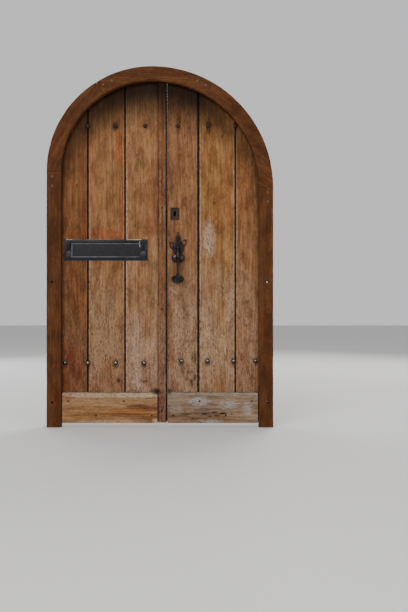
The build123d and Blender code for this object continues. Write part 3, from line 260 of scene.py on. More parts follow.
# Marks seen on the wood: x, z, half width, half height, darkness
marks = [
    (-0.461, 0.304, 0.016, 0.022, 0.7),
    (-0.351, 0.304, 0.017, 0.024, 0.8),
    (-0.216, 0.303, 0.018, 0.026, 0.85),
    (-0.079, 0.303, 0.020, 0.024, 0.85),
    (0.102, 0.314, 0.017, 0.024, 0.7),
    (0.229, 0.313, 0.018, 0.024, 0.8),
    (0.355, 0.313, 0.018, 0.026, 0.8),
    (0.461, 0.314, 0.016, 0.022, 0.7),
    (-0.351, 1.455, 0.014, 0.026, 0.7),
    (-0.218, 1.455, 0.020, 0.030, 0.9),
    (-0.068, 1.452, 0.018, 0.020, 0.4),
    (0.087, 1.470, 0.014, 0.060, 0.65),
    (0.234, 1.458, 0.015, 0.046, 0.85),
    (0.365, 1.458, 0.014, 0.030, 0.7),
    (0.298, 1.406, 0.006, 0.009, 0.6),
    (0.317, 1.500, 0.010, 0.012, 0.4),
    (-0.2025, 0.224, 0.010, 0.017, 0.9),
    (-0.0788, 0.216, 0.019, 0.008, 0.8),
    (-0.0930, 0.226, 0.006, 0.010, 0.8),
    (0.1685, 0.236, 0.008, 0.018, 0.9),
    (-0.020, 0.172, 0.030, 0.016, 1.0),
    (0.046, 0.172, 0.016, 0.014, 0.9),
    (0.184, 0.856, 0.006, 0.030, 0.8),
    (0.155, 0.335, 0.004, 0.030, 0.6),
    (0.146, 0.262, 0.018, 0.010, 0.6),
    (0.152, 0.212, 0.011, 0.024, 0.8),
    (0.168, 0.340, 0.006, 0.060, 0.6),
    (-0.357, 0.250, 0.005, 0.070, 0.4),
    (0.418, 0.490, 0.006, 0.007, 0.8),
    (-0.330, 0.445, 0.006, 0.006, 0.7),
    (-0.438, 0.505, 0.007, 0.005, 0.45),
    (-0.100, 0.735, 0.005, 0.008, 0.5),
    (-0.150, 0.098, 0.020, 0.003, 0.5),
    (-0.100, 0.102, 0.050, 0.003, 0.75),
    (-0.075, 0.093, 0.030, 0.003, 0.6),
    (-0.020, 0.080, 0.006, 0.040, 0.3),
    (0.214, 0.066, 0.022, 0.006, 1.0),
    (0.262, 0.072, 0.018, 0.005, 0.9),
    (0.304, 0.067, 0.022, 0.006, 1.0),
    (0.240, 0.054, 0.014, 0.004, 1.0),
    (0.275, 0.056, 0.020, 0.004, 0.9),
    (0.130, 0.060, 0.022, 0.004, 0.6),
    (0.156, 0.043, 0.005, 0.005, 0.9),
    (0.195, 0.024, 0.010, 0.004, 0.8),
    (0.345, 0.064, 0.006, 0.005, 0.7),
]

# Zones of the wood seen from outside: x, z, half width, half height, strength
pale_zones = [
    (-0.110, 0.240, 0.030, 0.080, 0.95),
    (-0.090, 0.370, 0.060, 0.090, 0.50),
    (-0.250, 0.500, 0.050, 0.170, 0.50),
    (-0.300, 0.330, 0.030, 0.080, 0.35),
    (0.085, 0.430, 0.034, 0.210, 0.70),
    (0.070, 0.665, 0.030, 0.040, 0.60),
    (0.260, 0.350, 0.070, 0.150, 0.60),
    (0.232, 0.910, 0.034, 0.090, 0.95),
    (0.390, 0.660, 0.016, 0.160, 0.45),
    (-0.110, 0.153, 0.130, 0.014, 1.00),
    (-0.320, 0.154, 0.160, 0.012, 0.95),
    (-0.250, 0.026, 0.200, 0.010, 0.60),
    (-0.020, 0.028, 0.018, 0.016, 1.00),
    (0.190, 0.125, 0.060, 0.026, 0.85),
    (0.330, 0.110, 0.060, 0.030, 0.75),
    (0.420, 0.090, 0.030, 0.040, 0.70),
    (0.080, 0.090, 0.040, 0.030, 0.45),
    (0.250, 0.030, 0.060, 0.012, 0.70),
]
ruddy_zones = [
    (-0.270, 0.930, 0.230, 0.032, 0.80),
    (-0.180, 1.030, 0.022, 0.110, 0.50),
    (-0.430, 0.260, 0.070, 0.150, 1.00),
    (-0.260, 0.196, 0.100, 0.034, 0.75),
    (-0.080, 0.190, 0.080, 0.026, 0.60),
    (0.145, 0.230, 0.034, 0.070, 0.75),
    (0.400, 0.300, 0.036, 0.100, 0.60),
    (0.270, 0.190, 0.080, 0.022, 0.40),
    (0.400, 1.160, 0.050, 0.200, 0.50),
    (0.100, 1.370, 0.030, 0.220, 0.35),
    (0.430, 0.190, 0.040, 0.030, 0.90),
    (-0.060, 0.120, 0.050, 0.030, 0.55),
]

# Knots on the boards: x, z, radius
knots = [
    (-0.405, 1.170, 0.007),
    (-0.262, 0.430, 0.006),
    (0.128, 1.215, 0.008),
    (0.141, 1.168, 0.008),
    (0.262, 1.085, 0.009),
    (0.405, 1.340, 0.007),
    (0.421, 0.601, 0.011),
]


def strongest(zones, x, z, ragged, full, gone):
    """The strongest of several zones at each place. Full and gone are shares of a zone's half size."""
    total = np.zeros_like(x)
    for zone_x, zone_z, half_width, half_height, strength in zones:
        reach = np.hypot((x - zone_x) / half_width, (z - zone_z) / half_height) / ragged
        total = np.maximum(total, strength * near(reach, full, gone))
    return total


# In noise over the wood, the factors are steps a metre, across and along the grain
class Surface:
    """The vertices of a wooden node, how its grain runs there, and the fields its material reads."""

    def __init__(self, mesh, along, seed):
        run = Vector(along).normalized()
        side = Vector((0, 1, 0)).cross(run)
        self.seed = seed
        self.points = np.array([vertex.co for vertex in mesh.verts])
        self.normals = np.array([vertex.normal for vertex in mesh.verts])
        self.x, self.y, self.z = self.points.T
        self.run = self.points @ np.array(run)
        self.across = self.points @ np.array(side)
        self.outward = np.clip(-self.normals[:, 1], 0, 1)
        self.corners = sharp_points(mesh, wood_corner_angle)
        self.dent = step(layered(self.across * 45, self.run * 30, seed + 3, 2), 0.66, 0.82)
        self.worn = step(noise(self.run * 22 + seed, self.across * 9, seed + 9), 0.35, 0.85)
        self.chipped = step(noise(self.run * 60 + seed, self.across * 20, seed + 11), 0.80, 0.97)
        self.knot = np.zeros_like(self.x)
        self.painted_arch_shade = np.zeros_like(self.x)
        self.weather = np.zeros_like(self.x)
        self.spots = np.zeros_like(self.x)
        self.ruddy = np.zeros_like(self.x)
        self.bleach = np.zeros_like(self.x)

    def darken(self, amount):
        """Adds darkness for stains and painted shade lines alike, except where the wood is darker already.
        """
        self.spots = np.maximum(self.spots, amount)

    def whiten(self, amount):
        """Adds a pale mark, except where the wood is paler already."""
        self.bleach = np.maximum(self.bleach, amount)


def grain_places(at, pith):
    """Where the vertices were in the tree: across, along and deep, from a pith that sways."""
    pith_side, pith_depth, pith_lean = pith
    sideways = 0.010 * (noise(at.run * 1.7 + at.seed, at.across * 0, at.seed + 20) - 0.5)
    inwards = 0.03 * (noise(at.run * 1.1, at.across * 0, at.seed + 21) - 0.5)
    across = at.across - pith_side + sideways
    deep = at.y - pith_depth + pith_lean * at.run + inwards
    return np.stack([across, at.run, deep], axis=1)


def bend_round_knots(at, grain):
    """Bends a board's grain round its knots and marks where they are."""
    for knot_x, knot_z, radius in knots:
        reach_along, reach_aside, pull = 4 * radius, 2.2 * radius, 0.7 * radius
        dark_core, dark_end, flattening = 0.7 * radius, 1.15 * radius, 0.8
        away_x, away_z = at.x - knot_x, at.z - knot_z
        bend = np.exp(-(away_z / reach_along) ** 2) * np.exp(-np.abs(away_x) / reach_aside)
        grain[:, 0] -= np.sign(away_x) * bend * pull
        ring = np.hypot(away_x, away_z * flattening)
        at.knot = np.maximum(at.knot, near(ring, dark_core, dark_end))


def worn_depth(at, play):
    """How far each place has worn inwards: waves, streaks and dents, rubbed corners, sunk knots."""
    wave = layered(at.across * 16 + at.seed, at.run * 5, at.seed, 2)
    streak = layered(at.across * 170 + at.seed, at.run * 6, at.seed + 7, 3)
    hollow = play * (0.55 * wave + 0.30 * streak + 0.5 * at.dent)
    depth = hollow * (0.25 + 0.75 * at.outward)
    depth += at.corners * (corner_rub + corner_wear * at.worn + corner_chip * at.chipped)
    return depth + knot_dent * at.knot * at.outward


def beside_slit(at):
    """Places at the gap between the leaves, whose width stays as it is."""
    return (at.x > left_edge - 0.0006) & (at.x < right_edge + right_back_cut + 0.0005)


def age_outside(at):
    """Weathering that grows towards the foot, with the marks and zones seen from outside."""
    weather_top, weather_fade = 1.05, 0.9
    height = 0.5 * (layered(at.across * 12, at.run * 2.2, at.seed + 30) - 0.5)
    low_down = step(weather_top - at.z + height, 0.0, weather_fade)
    blotches = layered(at.across * 14, at.run * 4.5, at.seed + 60, 3)
    at.weather = np.clip(low_down * (0.35 + 1.3 * step(blotches, 0.32, 0.68)), 0, 1)
    wobble = 0.75 + 0.5 * noise(at.x * 260, at.z * 120, 5)
    at.darken(0.45 * at.knot)
    at.darken(strongest(marks, at.x, at.z, wobble, 0.35, 1.25))
    frayed = 0.55 + 0.9 * layered(at.across * 110, at.run * 16, at.seed + 40, 3)
    at.whiten(strongest(pale_zones, at.x, at.z, frayed, 0.45, 1.35))
    at.ruddy = strongest(ruddy_zones, at.x, at.z, frayed, 0.45, 1.35)


def age_board(at):
    """Painted shade under the arch, dark joints, pale lines beside the joints, and a painted shade line
    beside the cover strip.
    """
    face_skin = 0.001
    full_shade, shade_end = 0.030, 0.26
    # Painted shade under the arch: full just below it, fading lower down and towards the sides
    under_crown = 1 - step(under_arch(at.x, at.z), full_shade, shade_end)
    at.painted_arch_shade = under_crown * (1 - 0.45 * step(np.abs(at.x - crown_x), 0.20, 0.46))
    within_joint = (at.y > front_y + face_skin) & (at.y < -face_skin)
    at.darken(np.where(within_joint, 1.0, 0.0))
    meeting = near(at.x - right_edge, 0.001, 0.004)
    at.darken(0.75 * meeting)
    at.corners = at.corners * (1 - meeting)

    rub_top, line_top, line_offset = 1.2, 1.45, 0.0085
    to_joint = np.min([np.abs(at.x - joint) for joint in board_joints], axis=0)
    rubbed = near(to_joint, 0.005, 0.013) * (0.45 + 0.55 * at.worn)
    at.whiten(rubbed * (0.6 + 0.4 * step(rub_top - at.z, 0, 0.6)))
    to_line = np.min([np.abs(at.x - joint - line_offset) for joint in board_joints], axis=0)
    line = near(to_line, 0.002, 0.006) * (0.7 + 0.3 * at.worn)
    at.whiten(line * step(line_top - at.z, 0, 0.5))
    # A painted shade line along the cover strip's left edge
    painted_shade_beside_strip = near(at.x - strip_edge + 0.0005, 0.0015, 0.0045)
    at.darken(0.55 * painted_shade_beside_strip * (0.5 + 0.5 * at.worn))


def age_strip(at):
    """Two rubbed lines down the cover strip, left of its middle and near its right side."""
    left_line, right_line = strip_edge + 0.011, strip_edge + 0.030
    rubbed = near(at.x - left_line, 0.001, 0.005) + near(at.x - right_line, 0.001, 0.004)
    at.whiten(0.9 * rubbed * (0.4 + 0.6 * at.worn))


def age_rail(at):
    """A kick rail's sloping top rubbed pale, with a painted shadow line where it meets the boards."""
    bevel_lean = 0.6
    bevel = step(at.z - bevel_lean * (at.y - front_y) - rail_top, -0.004, 0.010)
    at.whiten(bevel * (0.45 + 0.55 * at.worn))
    # Painted shadow line just under the rail's top edge
    painted_shadow_line = step(at.z, rail_top - 0.004, rail_top - 0.001) * (0.4 + 0.6 * at.worn)
    at.darken(0.55 * painted_shadow_line)


def lap_meeting_edges(mesh, node):
    """Slants both meeting edges the same way, so that the gap between the leaves isn't a slit."""
    for vertex in mesh.verts:
        share = 1 - vertex.co.y / front_y
        if node == "left_board_3" and vertex.co.x > left_edge - cut_distance:
            vertex.co.x += left_back_lap * share
        if node == "right_board_1" and vertex.co.x < right_edge + cut_distance:
            vertex.co.x += right_back_cut * share


def wooden(node, material, along, seed, steps, play, pith, role="hidden"):
    """A node of wood with worn corners, waves, dents and the fields that its material reads."""
    mesh = dense_copy(node, steps)
    lap_meeting_edges(mesh, node)
    mesh.normal_update()
    at = Surface(mesh, along, seed)
    grain = grain_places(at, pith)
    if role == "board":
        bend_round_knots(at, grain)
    depth = worn_depth(at, play)
    if role == "board":
        depth = np.where(beside_slit(at), 0.0, depth)
    for vertex, place in zip(mesh.verts, at.points - at.normals * depth[:, None]):
        vertex.co = place
    piece = add_piece(f"{node}_wood", mesh, node, material, wood_smooth_angle)

    if role != "hidden":
        age_outside(at)
    if role == "board":
        age_board(at)
    if node == "cover_strip":
        age_strip(at)
    if role == "rail":
        age_rail(at)
    # Painted arch shade, weathering, stains with painted shade lines, and reddening, one a channel
    tone = np.stack([at.painted_arch_shade, at.weather, at.spots, 1 - 0.999 * at.ruddy], axis=1)
    unused = np.zeros_like(at.x)
    wear = np.stack([at.corners, at.bleach, unused], axis=1)
    store(piece.data, "grain", "FLOAT_VECTOR", grain)
    store(piece.data, "tone", "FLOAT_COLOR", tone)
    store(piece.data, "wear", "FLOAT_VECTOR", wear)


# Materials
class Shader:
    """Adds nodes to one material. Most calls give a socket that later ones take."""

    def __init__(self, name):
        self.material = bpy.data.materials.new(name)
        self.material.use_nodes = True
        self.tree = self.material.node_tree
        self.surface = self.tree.nodes["Principled BSDF"]

    def add(self, kind, feeds, **settings):
        node = self.tree.nodes.new(kind)
        for key, value in settings.items():
            setattr(node, key, value)
        for key, value in feeds.items():
            self.feed(node.inputs[key], value)
        return node

    def feed(self, socket, value):
        if isinstance(value, bpy.types.NodeSocket):
            self.tree.links.new(value, socket)
        else:
            socket.default_value = value

    def set(self, **values):
        for key, value in values.items():
            self.feed(self.surface.inputs[key.replace("_", " ")], value)

    def set_specular(self, amount):
        self.surface.inputs["Specular IOR Level"].default_value = amount

    def attribute(self, name):
        return self.add("ShaderNodeAttribute", {}, attribute_name=name).outputs

    def coordinates(self, kind="Object"):
        return self.add("ShaderNodeTexCoord", {}).outputs[kind]

    def parts(self, vector):
        return self.add("ShaderNodeSeparateXYZ", {0: vector}).outputs

    def stretch(self, vector, scales):
        return self.add("ShaderNodeVectorMath", {0: vector, 1: scales}, operation="MULTIPLY").outputs[0]

    def noise(self, vector, scale, detail=3.0, roughness=0.55, distortion=0.0):
        feeds = {
            "Vector": vector, "Scale": scale, "Detail": detail,
            "Roughness": roughness, "Distortion": distortion,
        }
        return self.add("ShaderNodeTexNoise", feeds).outputs[0]

    def cells(self, vector, scale):
        """Distance from the middle of the nearest of many cells."""
        return self.add("ShaderNodeTexVoronoi", {"Vector": vector, "Scale": scale}).outputs["Distance"]

    def fit(self, value, low, high, to_low=0.0, to_high=1.0):
        """Moves a value from one range to another and keeps it inside."""
        feeds = {"Value": value, 1: low, 2: high, 3: to_low, 4: to_high}
        return self.add("ShaderNodeMapRange", feeds).outputs[0]

    def calculate(self, operation, *values):
        return self.add("ShaderNodeMath", dict(enumerate(values)), operation=operation).outputs[0]

    def plus(self, first, second):
        return self.calculate("ADD", first, second)

    def minus(self, first, second):
        return self.calculate("SUBTRACT", first, second)

    def times(self, first, second):
        return self.calculate("MULTIPLY", first, second)

    def times_plus(self, first, factor, extra):
        return self.calculate("MULTIPLY_ADD", first, factor, extra)

    def larger(self, first, second):
        return self.calculate("MAXIMUM", first, second)

    def off(self, value, middle):
        """How far a value is from a middle, to either side."""
        return self.calculate("ABSOLUTE", self.minus(value, middle))

    def mix(self, share, first, second):
        """The first colour with a share of the second over it."""
        feeds = {0: share, 6: first, 7: second}
        return self.add("ShaderNodeMix", feeds, data_type="RGBA").outputs[2]

    def bump(self, height, distance, strength):
        feeds = {"Height": height, "Distance": distance, "Strength": strength}
        return self.add("ShaderNodeBump", feeds).outputs[0]


class Timber(Shader):
    """Old oiled softwood: smooth bands where it is kept, flecked and grey where it has weathered."""

    ring_width = 0.011
    ring_warp = 0.018
    old_dirt = srgb(52, 24, 9)
    # Brown of the stains and of the painted shade lines
    stain_and_shade_brown = srgb(20, 8, 4)
    # Brown of the painted shade under the arch
    painted_shade_brown = srgb(16, 5, 1)

    def __init__(self, name, colours, age=1.0, gloss=0.0, flecks=1.0, clouds=(24.0, 10.0), relief=0.0005):
        super().__init__(name)
        self.pale, self.middle, self.deep, self.red, self.grey = (srgb(*shade) for shade in colours)
        self.grain = self.attribute("grain")["Vector"]
        self.add_layers(clouds)
        self.read_fields(age, flecks)
        colour = self.with_lines(self.kept_colour())
        colour = self.weathered(colour, age)
        colour = self.flecked(colour, flecks)
        colour = self.soiled_and_shaded(colour)
        self.set(Base_Color=colour, Roughness=self.roughness(gloss))
        self.set(Normal=self.bump(self.height(), relief, 0.9))
        self.set_specular(0.06)

    def stretched(self, across, along):
        """The grain's places at so many steps a metre across the grain and along it."""
        return self.stretch(self.grain, (across, along, across))

    def fibres(self, across, along, detail, roughness=0.55, distortion=0.0):
        return self.noise(self.stretched(across, along), 1.0, detail, roughness, distortion)

    def dots(self, across, along, full, gone, most=1.0):
        return self.fit(self.cells(self.stretched(across, along), 1.0), full, gone, most, 0.0)

    def add_layers(self, clouds):
        """Bands, clouds, streaks, fibres, year rings, dashes and cracks, from broad to fine."""
        self.broad = self.fibres(8.0, 1.8, 3.0, 0.6)
        self.band = self.fibres(30.0, 1.3, 3.0, 0.60, 0.6)
        self.cloud = self.fibres(*clouds, 4.0, 0.62)
        self.mottle = self.fibres(210.0, 62.0, 3.0, 0.62)
        self.streak = self.fibres(180.0, 6.0, 4.0, 0.62)
        self.fibre = self.fibres(800.0, 26.0, 3.0, 0.65)
        self.late = self.late_wood()
        self.dash = self.dots(250.0, 105.0, 0.14, 0.30)
        self.light_dash = self.dots(215.0, 110.0, 0.16, 0.32)
        self.crack = self.cracks()

    def late_wood(self):
        """Dark lines of the year rings round the pith."""
        flat = self.stretch(self.grain, (1.0, 0.0, 1.0))
        radius = self.add("ShaderNodeVectorMath", {0: flat}, operation="LENGTH").outputs["Value"]
        bent = self.times_plus(self.fibres(24.0, 2.8, 2.0), self.ring_warp, radius)
        wave = self.calculate("SINE", self.times(bent, 2 * pi / self.ring_width))
        return self.calculate("POWER", self.fit(wave, -1.0, 1.0), 2.5)

    def cracks(self):
        """Fine drying cracks along the grain, in some places only."""
        line = self.fit(self.off(self.fibres(110.0, 2.0, 2.0, 0.5, 0.6), 0.5), 0.0, 0.007, 1.0, 0.0)
        gate = self.fit(self.fibres(30.0, 4.0, 2.0), 0.62, 0.72)
        return self.times(line, gate)

    def read_fields(self, age, flecks):
        """What the shape's vertices keep: painted shade under the arch, weathering, stains with painted
        shade lines, reddening, corners, pale places.
        """
        field = self.attribute("tone")
        tone = self.add("ShaderNodeSeparateColor", {0: field["Color"]}).outputs
        wear = self.parts(self.attribute("wear")["Vector"])
        self.painted_arch_shade = tone[0]
        self.stain_and_shade = tone[2]
        self.ruddy = self.fit(field["Alpha"], 0.0, 1.0, 1.0, 0.0)
        self.corner = wear[0]
        self.bleach = self.times(wear[1], self.fit(self.mottle, 0.35, 0.60, 0.45, 1.0))
        self.old = self.times(tone[1], age)
        worst = self.larger(self.old, wear[1])
        self.open_grain = self.fit(worst, 0.0, 1.0, 0.40 * flecks, flecks)

    def kept_colour(self):
        """Wood under its oil: bands, broad red stretches, and deep and pale clouds."""
        colour = self.mix(self.fit(self.band, 0.38, 0.60), self.middle, self.pale)
        colour = self.mix(self.fit(self.broad, 0.45, 0.62, 0.0, 0.70), colour, self.red)
        colour = self.mix(self.times(self.ruddy, 0.90), colour, self.red)
        colour = self.mix(self.fit(self.cloud, 0.36, 0.54, 0.55, 0.0), colour, self.deep)
        return self.mix(self.fit(self.cloud, 0.50, 0.66, 0.0, 0.60), colour, self.pale)

    def with_lines(self, colour):
        """Dark streaks, year rings and light streaks. Old wood shows more of the streaks."""
        dark_line = self.times(
            self.fit(self.streak, 0.34, 0.54, 0.85, 0.0), self.fit(self.old, 0.0, 1.0, 0.45, 1.0)
        )
        light_line = self.times(
            self.fit(self.streak, 0.54, 0.68, 0.0, 0.55), self.fit(self.old, 0.0, 1.0, 0.25, 0.9)
        )
        light_shade = self.mix(self.times(self.old, 0.7), self.pale, self.grey)
        colour = self.mix(dark_line, colour, self.deep)
        colour = self.mix(self.times(self.late, 0.26), colour, self.deep)
        return self.mix(light_line, colour, light_shade)

    def weathered(self, colour, age):
        """Grey where it is old or bleached, and along rubbed corners."""
        share = self.times(self.fit(self.cloud, 0.36, 0.60, 0.30, 1.0), 0.56)
        share = self.times(share, self.old)
        self.greyed = self.larger(share, self.times(self.bleach, 0.90))
        colour = self.mix(self.greyed, colour, self.grey)
        edge = self.times(self.corner, self.fit(self.fibre, 0.3, 0.6, 0.25, 0.75))
        return self.mix(self.times(edge, 0.45 * age), colour, self.grey)

    def flecked(self, colour, flecks):
        """Small dark and light spots of open grain, and fine fibres."""
        dark_spot = self.times(self.fit(self.mottle, 0.34, 0.50, 0.70, 0.0), self.open_grain)
        colour = self.mix(dark_spot, colour, self.deep)
        light_spot = self.times(self.fit(self.mottle, 0.56, 0.70, 0.0, 0.70), self.open_grain)
        bright_dash = self.times(self.light_dash, self.times(self.old, 0.5 * flecks))
        light_spot = self.larger(light_spot, bright_dash)
        colour = self.mix(light_spot, colour, self.mix(0.5, self.pale, self.grey))
        return self.mix(self.fit(self.fibre, 0.36, 0.64, 0.48, 0.0), colour, self.deep)

    def soiled_and_shaded(self, colour):
        """Dirt in flecks, specks and cracks, stains with painted shade lines, and painted shade under the
        arch.
        """
        fleck = self.times(self.dash, self.times(self.open_grain, 0.45))
        speck = self.dots(64.0, 40.0, 0.10, 0.19, 0.70)
        speck = self.times(speck, self.fit(self.noise(self.grain, 31.0, 2.0), 0.50, 0.58))
        self.dirt = self.larger(self.times(self.crack, 0.20), self.larger(fleck, speck))
        colour = self.mix(self.dirt, colour, self.old_dirt)
        # Stains and painted shade lines
        stain_and_shade = self.times(self.stain_and_shade, self.fit(self.mottle, 0.3, 0.6, 1.0, 0.8))
        colour = self.mix(stain_and_shade, colour, self.stain_and_shade_brown)
        # Painted shade under the arch
        return self.mix(self.times(self.painted_arch_shade, 0.96), colour, self.painted_shade_brown)

    def roughness(self, gloss):
        smooth = self.fit(self.streak, 0.3, 0.7, 0.76 - gloss, 0.62 - gloss)
        return self.plus(smooth, self.times(self.greyed, 0.15))

    def height(self):
        height = self.times_plus(self.fibre, 0.55, self.times(self.streak, 0.6))
        height = self.times_plus(self.mottle, 0.5, height)
        return self.minus(height, self.times(self.dirt, 1.2))


def end_wood(name, pale, deep):
    """Small turned pegs, seen at their end grain."""
    skin = Shader(name)
    grain = skin.noise(skin.stretch(skin.coordinates(), (500.0, 40.0, 500.0)), 1.0, 4.0, 0.6)
    colour = skin.mix(skin.fit(grain, 0.3, 0.7), srgb(*deep), srgb(*pale))
    skin.set(Base_Color=colour, Roughness=skin.fit(grain, 0.3, 0.7, 0.85, 0.65))
    skin.set(Normal=skin.bump(grain, 0.0004, 0.7))
    return skin.material


def iron(name, base, tint, rust, rusting, rough=(0.35, 0.65), metallic=0.7, rusty_and_shaded_from=None):
    """Blackened iron with a cloudy skin, rust in patches and small pits; if a height is given, painted
    shade on dome rims, and rust and painted shade above that height.
    """
    pit_black, rust_brown = srgb(16, 13, 12), srgb(74, 44, 30)
    skin = Shader(name)
    here = skin.coordinates()
    cloud = skin.noise(here, 38.0, 5.0, 0.62)
    fine = skin.noise(here, 320.0, 4.0, 0.6)
    pit = skin.fit(skin.cells(here, 512.0), 0.05, 0.22, 1.0, 0.0)
    patch = skin.noise(here, 62.0, 6.0, 0.68, 0.5)
    spread = skin.fit(patch, 0.62 - 0.30 * rusting, 0.80 - 0.30 * rusting)

    colour = skin.mix(skin.fit(cloud, 0.35, 0.68), srgb(*base), srgb(*tint))
    colour = skin.mix(skin.times(skin.fit(fine, 0.35, 0.75), 0.35), colour, srgb(*tint))
    rusty = skin.mix(skin.fit(fine, 0.35, 0.7), srgb(*rust), rust_brown)
    colour = skin.mix(skin.times(spread, min(1.0, rusting * 1.6)), colour, rusty)
    colour = skin.mix(skin.times(pit, 0.45), colour, pit_black)
    roughness = skin.fit(skin.plus(cloud, skin.times(spread, 0.5)), 0.3, 1.0, *rough)
    if rusty_and_shaded_from:
        # Painted shade on the faces turned away from the front, such as dome rims
        colour = with_painted_rim_shade(skin, colour)
        # Rust, and painted shade over the top of the door, above the given height
        rust_and_shade = skin.fit(skin.parts(here)[2], rusty_and_shaded_from, rusty_and_shaded_from + 0.1, 0.0, 0.93)
        colour = skin.mix(rust_and_shade, colour, srgb(40, 21, 12))
        roughness = skin.times_plus(rust_and_shade, 0.45, roughness)
        metallic = skin.times_plus(rust_and_shade, -0.95, metallic)
        skin.set_specular(0.10)
    height = skin.minus(skin.times_plus(fine, 0.6, cloud), skin.times(pit, 0.5))
    skin.set(Base_Color=colour, Roughness=roughness, Metallic=metallic)
    skin.set(Normal=skin.bump(height, 0.0004, 0.6))
    return skin.material


def with_painted_rim_shade(skin, colour):
    """Painted shade: darkens what doesn't face straight out of the door, such as a dome's rim."""
    facing = skin.parts(skin.coordinates("Normal"))[1]
    # Dark brown painted shade towards the rim
    return skin.mix(skin.fit(facing, -0.93, -0.80, 0.0, 0.85), colour, srgb(30, 22, 17))


def paint(name, base, chip, rough=0.42, worn=0.3, rubbed=()):
    """Old paint on metal, a little faded, with small chips, and painted highlights along some lines."""
    skin = Shader(name)
    here = skin.coordinates()
    cloud = skin.noise(here, 24.0, 4.0, 0.6)
    fine = skin.noise(here, 420.0, 4.0, 0.6)
    scuff = skin.noise(skin.stretch(here, (30.0, 90.0, 160.0)), 1.0, 4.0, 0.6)
    patch = skin.plus(skin.noise(here, 95.0, 5.0, 0.7), skin.times(fine, 0.12))
    chips = skin.fit(patch, 0.72, 0.76)
    colour = skin.mix(skin.fit(cloud, 0.35, 0.7, 0.0, 0.6), srgb(*base), srgb(*chip))
    colour = skin.mix(skin.times(skin.fit(scuff, 0.5, 0.75), worn), colour, srgb(*chip))
    colour = skin.mix(skin.times(chips, 0.8), colour, srgb(92, 70, 58))
    place = skin.parts(here)
    # Painted highlights along the given lines, broken by scuffs
    for low_x, high_x, low_z, high_z, shade in rubbed:
        inside = skin.times(between(skin, place[0], low_x, high_x), between(skin, place[2], low_z, high_z))
        broken = skin.times(inside, skin.fit(scuff, 0.35, 0.6, 0.45, 1.0))
        colour = skin.mix(broken, colour, srgb(*shade))
    height = skin.times_plus(fine, 0.5, skin.times(chips, -0.8))
    skin.set(Base_Color=colour, Roughness=skin.fit(scuff, 0.3, 0.7, rough - 0.08, rough + 0.14))
    skin.set(Normal=skin.bump(height, 0.0003, 0.45))
    skin.set_specular(0.3)
    return skin.material


def between(skin, value, low, high):
    """1 between two limits and 0 outside, with a narrow soft border."""
    blur = 0.0004
    half = (high - low) / 2
    return skin.fit(skin.off(value, (low + high) / 2), half - blur, half + blur, 1.0, 0.0)


# Wood shades as they are worked out for the lights here: pale, middle, deep, red, grey
board_colours = {
    "left_board_1": ((131, 88, 52), (105, 68, 39), (55, 28, 12), (112, 48, 23), (128, 97, 74)),
    "left_board_2_low": ((155, 115, 76), (127, 89, 54), (67, 37, 18), (144, 79, 47), (158, 131, 107)),
    "left_board_2_high": ((156, 115, 76), (131, 93, 57), (75, 43, 21), (148, 78, 44), (156, 129, 108)),
    "left_board_3": ((162, 121, 81), (135, 97, 62), (73, 42, 21), (134, 82, 56), (180, 155, 136)),
    "right_board_1": ((151, 109, 74), (122, 85, 55), (65, 35, 18), (126, 72, 50), (174, 148, 121)),
    "right_board_2": ((164, 122, 74), (137, 97, 55), (75, 42, 18), (134, 78, 44), (178, 155, 132)),
    "right_board_3": ((157, 112, 72), (128, 87, 52), (67, 37, 17), (126, 66, 34), (164, 133, 110)),
}
strip_colours = ((136, 90, 56), (114, 72, 44), (58, 32, 16), (112, 60, 40), (148, 120, 100))
rail_colours = {
    "left_kick_rail": ((162, 114, 58), (130, 86, 40), (62, 33, 14), (142, 78, 32), (194, 176, 152)),
    "right_kick_rail": ((152, 116, 76), (122, 90, 57), (54, 36, 20), (124, 80, 46), (170, 168, 162)),
}
rail_ages = {"left_kick_rail": 0.40, "right_kick_rail": 0.50}
ledge_colours = ((160, 108, 60), (134, 84, 42), (84, 48, 22), (134, 82, 44), (146, 112, 82))
frame_colours = ((104, 64, 36), (84, 50, 27), (48, 26, 12), (80, 44, 24), (104, 80, 60))


def board_pith(node, index):
    """Where the tree's pith ran beside a board: boards in turn come from either side of it."""
    low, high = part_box(node)
    side, lean = (0.05, 0.018) if index % 2 else (-0.07, -0.022)
    return ((low[0] + high[0]) / 2 + side, 0.055, lean)


def board_seed(node, index):
    """What a board's noise starts from. Both parts of the cut board share theirs."""
    return 41 if node == "left_board_2_high" else 40 + index


for index, (node, colours) in enumerate(board_colours.items()):
    material = Timber(f"{node}_grain", colours, gloss=0.06).material
    wooden(node, material, along=upright, seed=board_seed(node, index), steps=board_steps,
           play=0.0010, pith=board_pith(node, index), role="board")

material = Timber("strip_grain", strip_colours).material
wooden("cover_strip", material, along=upright, seed=61, steps=strip_steps,
       play=0.0009, pith=(0.10, 0.06, 0.01), role="board")

for index, (node, colours) in enumerate(rail_colours.items()):
    material = Timber(
        f"{node}_grain", colours, age=rail_ages[node], flecks=0.5, clouds=(46.0, 4.0), relief=0.0006
    ).material
    wooden(node, material, along=level, seed=70 + index, steps=rail_steps,
           play=0.0014, pith=(0.05, 0.03, 0.02), role="rail")

material = Timber("ledge_grain", ledge_colours, age=0.5, gloss=0.04).material
ledges = [f"{side}_ledge_{height}" for side in ("left", "right") for height in ("low", "mid", "top")]
for index, node in enumerate(ledges):
    wooden(node, material, along=level, seed=80 + index, steps=ledge_steps,
           play=0.0008, pith=(1.0, -0.04, 0.02))

